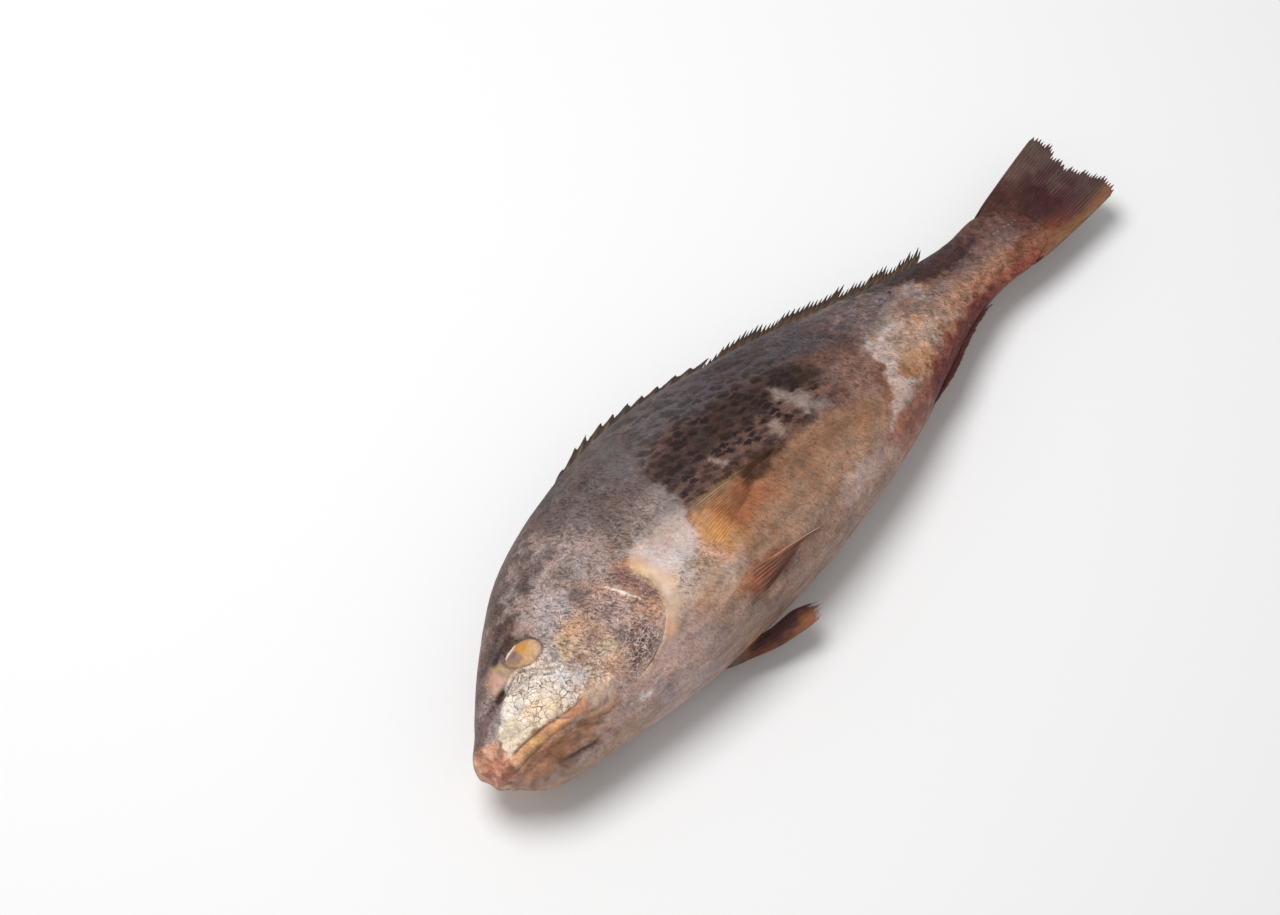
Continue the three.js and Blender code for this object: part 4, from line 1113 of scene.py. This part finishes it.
def eyeball(side):
    """A flat dome over the eye's oval: rings from its middle out, sinking with the square of the way to
    the rim and tipped in under the brow, then closed by a flat back; returns points, x, y and place."""
    middle_x, middle_y, half_length, half_height, lean = EYE
    cos, sin = np.cos(np.radians(lean)), np.sin(np.radians(lean))
    turn = np.linspace(0, 2 * np.pi, EYE_COLUMNS, endpoint=False)[None, :]
    out = np.concatenate([np.linspace(0.02, 1.04, EYE_STEPS), [0.5]])[:, None]
    along, across = half_length * out * np.cos(turn), half_height * out * np.sin(turn)
    x = middle_x + along * cos - across * sin
    y = middle_y + along * sin + across * cos
    around = turn_at(x, y, side)
    place = skin(x, around)
    pupil = oval_away(x, y, PUPIL)
    depth = EYE_DOME * out**2 + EYE_TIP * ramp(y, 16, 21) + 0.15 * ramp(pupil, 1.1, 0.8)
    depth += 0.12 * fractal(place, 2.4, 66, 3)
    depth[-1] = EYE_BACK
    return place - skin_normal(x, around) * depth[..., None], x, y, place


def paint_eye(x, y, place):
    """Colours of an eye: a golden iris with a glow, browner rings towards its rim, darkest at the rim with
    painted shade where the eye meets its socket, the milky pupil with a shade in it and a pale line of
    glint below the brow, each by its own oval or outline."""
    cloud = fractal(place, 3, 68, 3)
    from_rim = oval_away(x, y, EYE) + 0.12 * cloud
    from_pupil = oval_away(x, y, PUPIL) + 0.15 * cloud
    tint = over(IRIS_TONE + 0 * place, GLOW_TONE, 0.85 * field(x, y, IRIS_GLOW, 1.4))
    tint = over(tint, RING_TONE, 0.8 * ramp(from_rim, 0.6, 0.95))
    # The eye's own browner rim, darkened further by painted shade where the eye meets its socket.
    tint = over(tint, RIM_TONE, 0.85 * ramp(from_rim, 0.88, 1.02))
    tint = over(tint, PUPIL_TONE, 0.9 * ramp(from_pupil, 1.25, 0.7))
    tint = over(tint, PUPIL_SHADE_TONE, 0.7 * ramp(oval_away(x, y, PUPIL_SHADE), 1.3, 0.5))
    glint = bell(y - GLINT_Y, 0.4) * ramp(x, 32.6, 33.6) * ramp(x, 39.8, 38.6)
    return over(tint, GLINT_TONE, 0.9 * glint)


def eye_material():
    """Clouded eye: the painted tint with fine streaks and a dried, glossy film over it."""
    material, tree, shader = start_material("dried_eye")
    where = add_node(tree, "ShaderNodeTexCoord", {}).outputs["Object"]
    cloud = clouds(tree, where, EYE_CLOUD_SCALE, 4, 0.6).outputs["Fac"]
    shade = drawn_out(tree, cloud, 0.3, 0.7, 0.85, 1.15)
    tree.links.new(dimmed(tree, painted(tree, "tint", "Color"), shade), shader.inputs["Base Color"])
    add_bumps(tree, shader, cloud, EYE_BUMPS, EYE_BUMP_DEPTH)
    shader.inputs["Roughness"].default_value = EYE_ROUGHNESS
    shader.inputs["Coat Weight"].default_value = EYE_FILM
    shader.inputs["Coat Roughness"].default_value = EYE_FILM_ROUGHNESS
    return material


eye_finish = eye_material()
for side_name, side in (("left", 1), ("right", -1)):
    eye_points, eye_x, eye_y, eye_place = eyeball(side)
    eye_tint = paint_eye(eye_x, eye_y, eye_place)
    add_piece(f"eye_{side_name}", press_flat(eye_points), eye_tint, eye_finish, "eye")

# Tail fin: a thin fan of branched rays in dried film, set on the end of the tail root.
# Each ray forks in two, the film between has split, and the rear edge is frayed.
TAIL_ROOT_X, TAIL_AXIS_Y = 284, -10
TAIL_ROOT_HALF, TAIL_TIP_HALF, TAIL_FLARE, TAIL_WARP = 13.5, 19.4, 0.6, 1.2
TAIL_WIDTH, TAIL_LENGTH = 36, 50
FIBRE_STRETCH, FIBRE_SCALE, FIN_BUMPS, FIN_BUMP_DEPTH = 0.12, 2.2, 0.4, 0.0005
TAIL_FILM_TONE, TAIL_RAY_TONE, TAIL_SPLIT_TONE = colour(78, 44, 43), colour(118, 86, 74), colour(44, 27, 29)
TAIL_TOP_TONE, TAIL_MIDDLE_TONE, TAIL_END_TONE = colour(106, 82, 72), colour(62, 25, 33), colour(86, 72, 68)
TAIL_GLOW_TONE, TAIL_GOLD_TONE = colour(124, 54, 42), colour(142, 100, 70)
TAIL_EDGE = np.array([(-1, 332), (-0.88, 336), (-0.65, 337), (-0.2, 334.8), (0.2, 333.8), (0.6, 335.5),
                      (0.85, 336), (1, 333)])


def ridges(phase):
    """1 along whole numbers and 0 halfway between them: a cosine raised to a power, for ray profiles."""
    return (0.5 + 0.5 * np.cos(2 * np.pi * phase)) ** 1.5


def own_share(number, seed):
    """A repeatable share from 0 to 1 for each ray of that number."""
    return cell_value(np.stack([number, 0 * number, 0 * number], axis=-1), seed)


def fin_blade(middle_at, lie, rays, per_ray, steps, film, ray_rise, fray, forks, seed):
    """A fin as a closed blade: middle_at(s, r) with its lie is the middle surface, s across the rays and r
    out from the root. Both faces stand off it by half the film and the rays' rise; rays fork in two at
    each share in forks, and every branch ends at its own length. Returns points, s, r and ray profile."""
    s = np.linspace(0, 1, rays * per_ray + 1)[:, None]
    r = np.linspace(0, 1, steps + 1)[None, :]
    wander = noise(np.stack([0.6 * rays * s + 0 * r, 3 * r + 0 * s, 0 * s * r], axis=-1), 1, seed + 3)
    phase = s * rays + 0.28 * wander * np.sin(np.pi * s) ** 0.3
    ray = ridges(phase)
    for order, fork in enumerate(forks):
        split = ramp(r, fork - 0.12, fork + 0.12)
        ray = ray * (1 - split) + ridges(phase * 2 ** (order + 1) + 0.5) * split
    finest = phase * 2 ** len(forks)
    short = 0.5 * own_share(np.floor(phase[:, -1:] + 0.5), seed)
    short = short + 0.5 * own_share(np.floor(finest[:, -1:]), seed + 1)
    reach = 1 - fray * short - 0.5 * fray * (1 - ray[:, -1:])
    middle = middle_at(s, r * reach, **lie)
    normal = np.cross(np.gradient(middle, axis=0), np.gradient(middle, axis=1))
    normal /= np.maximum(np.linalg.norm(normal, axis=-1, keepdims=True), 1e-9)
    half = 0.5 * (film + ray_rise * ray * ramp(r, 0, 0.3) * (1 - 0.55 * r)) * np.sqrt(1.02 - r**6)
    sway = 0.25 * film * fractal(middle, 6, seed + 2, 2)
    upper = middle + normal * (sway + half)[..., None]
    lower = middle + normal * (sway - half)[..., None]
    return np.concatenate([upper, lower[:, ::-1]], axis=1), s + 0 * r, s * 0 + r, ray


def tail_middle(s, r):
    """Middle of the tail fin: across from its lower to its upper edge by s, widening with a power of r,
    on the fish's middle plane; the rear edge follows its own curve."""
    across = 2 * s - 1
    x = TAIL_ROOT_X + (curve(across, TAIL_EDGE) - TAIL_ROOT_X) * r
    half = TAIL_ROOT_HALF + (TAIL_TIP_HALF - TAIL_ROOT_HALF) * r**TAIL_FLARE
    warp = TAIL_WARP * np.sin(2.2 * np.pi * s + 1) * r**2
    return np.stack([SNOUT_X + x, TAIL_AXIS_Y + across * half, curve(x, MIDPLANE) + warp], axis=-1)


def paint_tail(places, s, r, ray):
    """Colours of the tail: the skin's own at the root, then film with paler rays, darkest between them,
    greyer above and at the rear edge, maroon in the middle, with a red glow and a golden lower edge, each
    a step or a bell across and along the fin."""
    mottle = fractal(places, 7, 72)
    x = places[..., 0] - SNOUT_X
    root, _ = paint_skin(np.minimum(x, BODY_LENGTH), places[..., 1] - axis_drop(x), places, 0 * x)
    tint = over(TAIL_FILM_TONE + 0 * places, TAIL_RAY_TONE, 0.45 * ray * ramp(r, 0.4, 0.7))
    tint = over(tint, TAIL_SPLIT_TONE, 0.5 * (1 - ray) * ramp(r, 0.45, 0.8))
    tint = over(tint, TAIL_TOP_TONE, 0.5 * ramp(s + 0.1 * mottle, 0.62, 0.92) * ramp(r, 0.3, 0.6))
    maroon = bell(r - 0.52 + 0.2 * mottle, 0.2) * ramp(s, 0.14, 0.36) * ramp(s, 0.9, 0.66)
    tint = over(tint, TAIL_MIDDLE_TONE, 0.85 * maroon)
    tint = over(tint, TAIL_END_TONE, 0.5 * ramp(r + 0.15 * mottle, 0.74, 0.95))
    tint = over(tint, root, ramp(r + 0.15 * mottle, 0.66, 0.3))
    glow = bell(s - 0.2 + 0.06 * mottle, 0.1) * bell(r - 0.34, 0.22)
    tint = over(tint, TAIL_GLOW_TONE, 0.6 * glow)
    golden = ramp(s + 0.05 * mottle, 0.17, 0.03) * ramp(r, 0.1, 0.4)
    tint = over(tint, TAIL_GOLD_TONE, 0.75 * golden)
    return tint * (1 + 0.22 * mottle)[..., None]


def fin_material():
    """Dried fin: the painted tint with fibres running along the rays, the film thinner and duller
    between them; pattern from the fin's own places across and along, in millimetres."""
    material, tree, shader = start_material("dried_fin")
    fibre = clouds(tree, painted(tree, "fibre", "Vector"), FIBRE_SCALE, 5, 0.62).outputs["Fac"]
    shade = drawn_out(tree, fibre, 0.28, 0.72, 0.62, 1.38)
    tree.links.new(dimmed(tree, painted(tree, "tint", "Color"), shade), shader.inputs["Base Color"])
    tree.links.new(drawn_out(tree, fibre, 0.3, 0.7, 0.42, 0.62), shader.inputs["Roughness"])
    add_bumps(tree, shader, fibre, FIN_BUMPS, FIN_BUMP_DEPTH)
    shader.inputs["Specular IOR Level"].default_value = DRIED_SHEEN
    return material


def add_fin(name, blade, width, length, tint):
    """Puts a fin into the scene: both faces painted alike, with their places across and along it."""
    points, s, r, _ = blade
    fibre = np.stack([s * width, r * length * FIBRE_STRETCH, 0 * s], axis=-1)
    piece = add_piece(name, points, both_faces(np.clip(tint, DARKEST, 1)), fin_finish, "fin_rays")
    places = with_ends(both_faces(fibre))
    piece.data.attributes.new("fibre", "FLOAT_VECTOR", "POINT").data.foreach_set("vector", places.ravel())


fin_finish = fin_material()
tail_blade = fin_blade(tail_middle, {}, rays=16, per_ray=24, steps=64, film=0.45, ray_rise=0.6, fray=0.07,
                       forks=(0.36,), seed=70)
tail_points, tail_s, tail_r, tail_ray = tail_blade
tail_tint = paint_tail(tail_points[:, :tail_s.shape[1]], tail_s, tail_r, tail_ray)
add_fin("tail_fin", tail_blade, TAIL_WIDTH, TAIL_LENGTH, tail_tint)

# First dorsal fin: a row of stiff spines on the back, folded low, with dark dried film between them.
# The film is torn away from the spines' points.
MIDDLE_FIN_SUNK, FIN_FRONT_SHARE, FIN_FRONT_LENGTH = 2.5, 0.18, 0.35


def middle_fin(s, r, first_x, last_x, first_length, last_length, slope, edge):
    """Middle surface of a fin on the back (edge 1) or belly (edge -1): rays rooted along the body's edge
    and leaning back by the slope, shorter at the front."""
    x = first_x + (last_x - first_x) * s
    front = FIN_FRONT_LENGTH + (1 - FIN_FRONT_LENGTH) * np.sqrt(np.minimum(1, s / FIN_FRONT_SHARE))
    length = (first_length + (last_length - first_length) * s) * front + MIDDLE_FIN_SUNK
    lean = np.arctan(slope)
    along = np.minimum(x + length * r * np.cos(lean), BODY_LENGTH)
    points = skin(along, 0 * along + edge * np.pi / 2)
    points[..., 1] += edge * (length * r * np.sin(lean) - MIDDLE_FIN_SUNK)
    return points


def dark_edged(blade, root_tone, ray_tone, edge_tone, seed):
    """Fin colours: film and rays from the root out, mottled, darkening to the edge."""
    points, s, r, ray = blade
    mottle = fractal(points[:, :s.shape[1]], 6, seed)
    tint = over(root_tone + 0 * points[:, :s.shape[1]], ray_tone, 0.75 * ray)
    tint = over(tint, edge_tone, 0.85 * ramp(r + 0.25 * mottle, 0.55, 0.95))
    return tint * (1 + 0.25 * mottle)[..., None]


FIRST_DORSAL = dict(first_x=92, last_x=163, first_length=23, last_length=12, slope=0.42, edge=1)
FIRST_DORSAL_TONES = colour(84, 66, 58), colour(128, 104, 84), colour(56, 43, 39)
first_dorsal = fin_blade(middle_fin, FIRST_DORSAL, rays=10, per_ray=14, steps=30, film=0.5, ray_rise=1.6,
                         fray=0.3, forks=(), seed=80)
first_dorsal_tint = dark_edged(first_dorsal, *FIRST_DORSAL_TONES, seed=82)
add_fin("first_dorsal_fin", first_dorsal, width=60, length=20, tint=first_dorsal_tint)

# Second dorsal fin: a long low fin of soft rays behind the spines, folded back along the tail root.
# Golden rays show through brown film, with a dark comb of ray tips.
SECOND_DORSAL = dict(first_x=166, last_x=254, first_length=17, last_length=15, slope=0.62, edge=1)
SECOND_DORSAL_TONES = colour(76, 58, 50), colour(112, 88, 64), colour(54, 42, 38)
second_dorsal = fin_blade(middle_fin, SECOND_DORSAL, rays=24, per_ray=12, steps=30, film=0.4, ray_rise=1.2,
                          fray=0.4, forks=(0.6,), seed=84)
second_dorsal_tint = dark_edged(second_dorsal, *SECOND_DORSAL_TONES, seed=86)
add_fin("second_dorsal_fin", second_dorsal, width=88, length=16, tint=second_dorsal_tint)

# Anal fin: a stout spine and a few soft rays behind the vent, folded against the belly's edge.
# It is dark, reddened by dried blood.
ANAL = dict(first_x=197, last_x=246, first_length=26, last_length=15, slope=0.2, edge=-1)
ANAL_TONES = colour(98, 54, 50), colour(120, 76, 66), colour(78, 44, 43)
anal = fin_blade(middle_fin, ANAL, rays=9, per_ray=18, steps=44, film=0.5, ray_rise=1.3, fray=0.14,
                 forks=(0.5,), seed=88)
anal_tint = dark_edged(anal, *ANAL_TONES, seed=90)
add_fin("anal_fin", anal, width=22, length=26, tint=anal_tint)

# Pectoral fins: fans of fine golden rays rooted behind the gill openings, lying flat along the flanks.
# The right one is pressed under the fish.
PECTORAL = dict(top=(109, 3.6), low=(105, -15), lengths=(47, 24), droops=(0.19, -0.12))
PECTORAL_SPINE_TONE = colour(186, 156, 118)
LYING_LIFT = 0.5


def lying_places(s, r, top, low, lengths, droops):
    """Where a fin on the flank lies: rays from a root line between two places, longest at the top and
    drooping by a share of their length. Returns x and y."""
    length = lengths[0] + (lengths[1] - lengths[0]) * s
    droop = droops[0] + (droops[1] - droops[0]) * s
    x = top[0] + (low[0] - top[0]) * s + length * r
    y = top[1] + (low[1] - top[1]) * s - droop * length * r
    return x, y


def lying_fin(s, r, side, **places):
    """Middle surface of a fin that lies on the flank: just off the skin, but sinking into it at the root
    and along the lower edge."""
    x, y = lying_places(s, r, **places)
    around = turn_at(x, y, side)
    place = skin(x, around)
    free = ramp(r, 0.02, 0.3) * ramp(s, 1, 0.6) * (1 - 0.95 * ramp(r, 0.3, 0.95) * ramp(s, 0.1, 0.25))
    lift = LYING_LIFT * (1.5 * free - 0.55) + hollows(x, place)
    return place + skin_normal(x, around) * lift[..., None]


def paint_pectoral(s, r, ray, place):
    """Pectoral fin colours: the skin's own, lined by the rays, with a pale first ray."""
    x, y = lying_places(s, r, **PECTORAL)
    tint, _ = paint_skin(x, y, place, 0 * x)
    lined = ramp(r, 0.12, 0.35) * (0.35 + 0.65 * ramp(s, 0.75, 0.2))
    tint = tint * (1 + 0.5 * lined * (ray - 0.4) + 0.1 * fractal(place, 5, 94))[..., None]
    first_ray = ramp(s, 0.2, 0.05) * ray * ramp(r, 0.1, 0.2) * ramp(r, 0.75, 0.55)
    return over(tint, PECTORAL_SPINE_TONE, 0.5 * first_ray)


for side_name, side in (("left", 1), ("right", -1)):
    points, s, r, ray = fin_blade(lying_fin, {"side": side, **PECTORAL}, rays=17, per_ray=12, steps=70,
                                  film=0.2, ray_rise=0.5, fray=0.14, forks=(0.5,), seed=92)
    pectoral_tint = paint_pectoral(s, r, ray, points[:, :s.shape[1]])
    pectoral = (press_flat(points), s, r, ray)
    add_fin(f"pectoral_fin_{side_name}", pectoral, width=16, length=34, tint=pectoral_tint)

# Pelvic fins: short fins under the throat, each with a pale stout spine along its front edge.
# The left one lies along the belly, the right one stands out from under it with a frayed tip.
PELVIC = dict(top=(106, -26), low=(101, -33.4), lengths=(36, 25), droops=(0.2, 0.02))
PELVIC_RAYS = dict(rays=7, per_ray=22, steps=52, ray_rise=0.8, forks=(0.5,), seed=96)
PELVIC_WIDTH, PELVIC_LENGTH = 10, 32
PELVIC_FILM_TONE, PELVIC_RAY_TONE = colour(118, 75, 62), colour(150, 104, 82)
PELVIC_FRONT_TONE, PELVIC_REAR_TONE = colour(82, 52, 54), colour(84, 50, 44)
PELVIC_SPINE_TONE, PELVIC_TIP_TONE = colour(204, 168, 136), colour(172, 112, 74)
SPREAD_LOWER = np.array([(0, 86, -32.5, 12), (0.2, 94, -37.2, 12.5), (0.45, 104, -42.8, 14),
                         (0.7, 112.5, -46, 15.2), (0.88, 119.5, -48, 16.3), (1, 125.5, -48.2, 17)])
SPREAD_UPPER = np.array([(0, 92, -32, 14), (0.2, 99, -35.2, 14.8), (0.45, 108.5, -37.6, 15.8),
                         (0.7, 117, -39, 16.8), (0.88, 122.5, -41.8, 17.4), (1, 127.5, -45.4, 18)])
PELVIC_FILM, PELVIC_FLESH, SPREAD_ROOT_Y = 0.3, 5, -30


def spread_fin(s, r):
    """Middle of the fin that stands out: straight across, by s, between an upper and a lower edge, each a
    curve from root to tip."""
    upper = np.stack([curve(r, SPREAD_UPPER, column) for column in (1, 2, 3)], axis=-1)
    lower = np.stack([curve(r, SPREAD_LOWER, column) for column in (1, 2, 3)], axis=-1)
    return upper + (lower - upper) * s[..., None] + np.array([SNOUT_X, 0, 0])


def paint_pelvic(s, r, ray, place, skin_tint, spread):
    """Pelvic fin colours: reddish brown, darker behind, the skin's own at the root, with a pale spine along
    the front edge of the one that lies and a golden tip on the one that is spread (spread 1, else 0)."""
    mottle = fractal(place, 6, 98)
    tint = over(PELVIC_FILM_TONE + 0 * place, PELVIC_RAY_TONE, 0.55 * ray)
    dark_front = ramp(s + 0.2 * mottle, 0.85, 0.45) * ramp(r, 0.1, 0.4) * spread
    tint = over(tint, PELVIC_FRONT_TONE, 0.85 * dark_front)
    dark_rear = ramp(s + 0.2 * mottle, 0.35, 0.7) * ramp(r, 0.15, 0.4) * (1 - spread)
    tint = over(tint, PELVIC_REAR_TONE, 0.6 * dark_rear)
    tint = over(tint, skin_tint, ramp(r + 0.25 * mottle, 0.4, 0.05))
    spine = ramp(s, 0.1, 0.03) * ramp(r, 0.25, 0.45) * (1 - spread)
    tint = over(tint, PELVIC_SPINE_TONE, 0.8 * spine)
    golden = spread * ramp(r + 0.1 * mottle, 0.76, 0.9) * bell(s - 0.6, 0.35)
    tint = over(tint, PELVIC_TIP_TONE, 0.65 * golden)
    return tint * (1 + 0.25 * mottle)[..., None]


points, s, r, ray = fin_blade(lying_fin, {"side": 1, **PELVIC}, film=PELVIC_FILM, fray=0.16, **PELVIC_RAYS)
place = points[:, :s.shape[1]]
pelvic_x, pelvic_y = lying_places(s, r, **PELVIC)
skin_tint, _ = paint_skin(pelvic_x, pelvic_y, place, 0 * pelvic_x)
pelvic_tint = paint_pelvic(s, r, ray, place, skin_tint, 0)
add_fin("pelvic_fin_left", (press_flat(points), s, r, ray), PELVIC_WIDTH, PELVIC_LENGTH, pelvic_tint)

out_from_root = np.linspace(0, 1, PELVIC_RAYS["steps"] + 1)[None, :]
flesh = PELVIC_FILM + PELVIC_FLESH * (1 - out_from_root) ** 3
points, s, r, ray = fin_blade(spread_fin, {}, film=flesh, fray=0.1, **PELVIC_RAYS)
place = points[:, :s.shape[1]]
skin_tint, _ = paint_skin(place[..., 0] - SNOUT_X, 0 * s + SPREAD_ROOT_Y, place, 0 * s)
pelvic_tint = paint_pelvic(s, r, ray, place, skin_tint, 1)
add_fin("pelvic_fin_right", (press_flat(points), s, r, ray), PELVIC_WIDTH, PELVIC_LENGTH, pelvic_tint)

# Floor, light and camera: a plain pale sheet, one large soft lamp high on the side of the fish's back
# and an even pale room, seen from above the belly side of the head as a lens of medium length sees it.
FLOOR_HALF, FLOOR_TONE, FLOOR_ROUGHNESS = 3.0, (0.93, 0.93, 0.93, 1), 0.9
LAMP_AT, LAMP_SIZE, LAMP_POWER = Vector((-0.05, 0.32, 1.1)), 0.6, 9.2
ROOM_STRENGTH = 0.4
CAMERA_TARGET = Vector((20, 38.8, 20)) * MM
CAMERA_AZIMUTH, CAMERA_ELEVATION = np.radians(-51.1), np.radians(62.6)
CAMERA_DISTANCE = 930.6 * MM
FRAME_WIDTH, FOCAL_PIXELS, SENSOR_WIDTH = 1280, 2600, 36

floor_mesh = bpy.data.meshes.new("floor")
floor_corners = [(-FLOOR_HALF, -FLOOR_HALF, 0), (FLOOR_HALF, -FLOOR_HALF, 0),
                 (FLOOR_HALF, FLOOR_HALF, 0), (-FLOOR_HALF, FLOOR_HALF, 0)]
floor_mesh.from_pydata(floor_corners, [], [(0, 1, 2, 3)])
floor = bpy.data.objects.new("floor", floor_mesh)
bpy.context.scene.collection.objects.link(floor)
floor_finish, _, floor_shader = start_material("pale_floor")
floor_shader.inputs["Base Color"].default_value = FLOOR_TONE
floor_shader.inputs["Roughness"].default_value = FLOOR_ROUGHNESS
floor_mesh.materials.append(floor_finish)

lamp_data = bpy.data.lights.new("soft_lamp", "AREA")
lamp_data.shape = "DISK"
lamp_data.size = LAMP_SIZE
lamp_data.energy = LAMP_POWER
lamp = bpy.data.objects.new("soft_lamp", lamp_data)
lamp.location = LAMP_AT
lamp.rotation_euler = (CAMERA_TARGET - LAMP_AT).to_track_quat("-Z", "Y").to_euler()
bpy.context.scene.collection.objects.link(lamp)

room = bpy.data.worlds.new("pale_room")
room.use_nodes = True
room.node_tree.nodes["Background"].inputs["Color"].default_value = (1, 1, 1, 1)
room.node_tree.nodes["Background"].inputs["Strength"].default_value = ROOM_STRENGTH
bpy.context.scene.world = room
bpy.context.scene.view_settings.view_transform = "Standard"

towards_camera = Vector((
    np.sin(CAMERA_AZIMUTH) * np.cos(CAMERA_ELEVATION),
    -np.cos(CAMERA_AZIMUTH) * np.cos(CAMERA_ELEVATION),
    np.sin(CAMERA_ELEVATION),
))
camera_data = bpy.data.cameras.new("camera")
camera_data.sensor_width = SENSOR_WIDTH
camera_data.lens = SENSOR_WIDTH * FOCAL_PIXELS / FRAME_WIDTH
camera = bpy.data.objects.new("camera", camera_data)
camera.location = CAMERA_TARGET + towards_camera * CAMERA_DISTANCE
camera.rotation_euler = (-towards_camera).to_track_quat("-Z", "Y").to_euler()
bpy.context.scene.collection.objects.link(camera)
bpy.context.scene.camera = camera
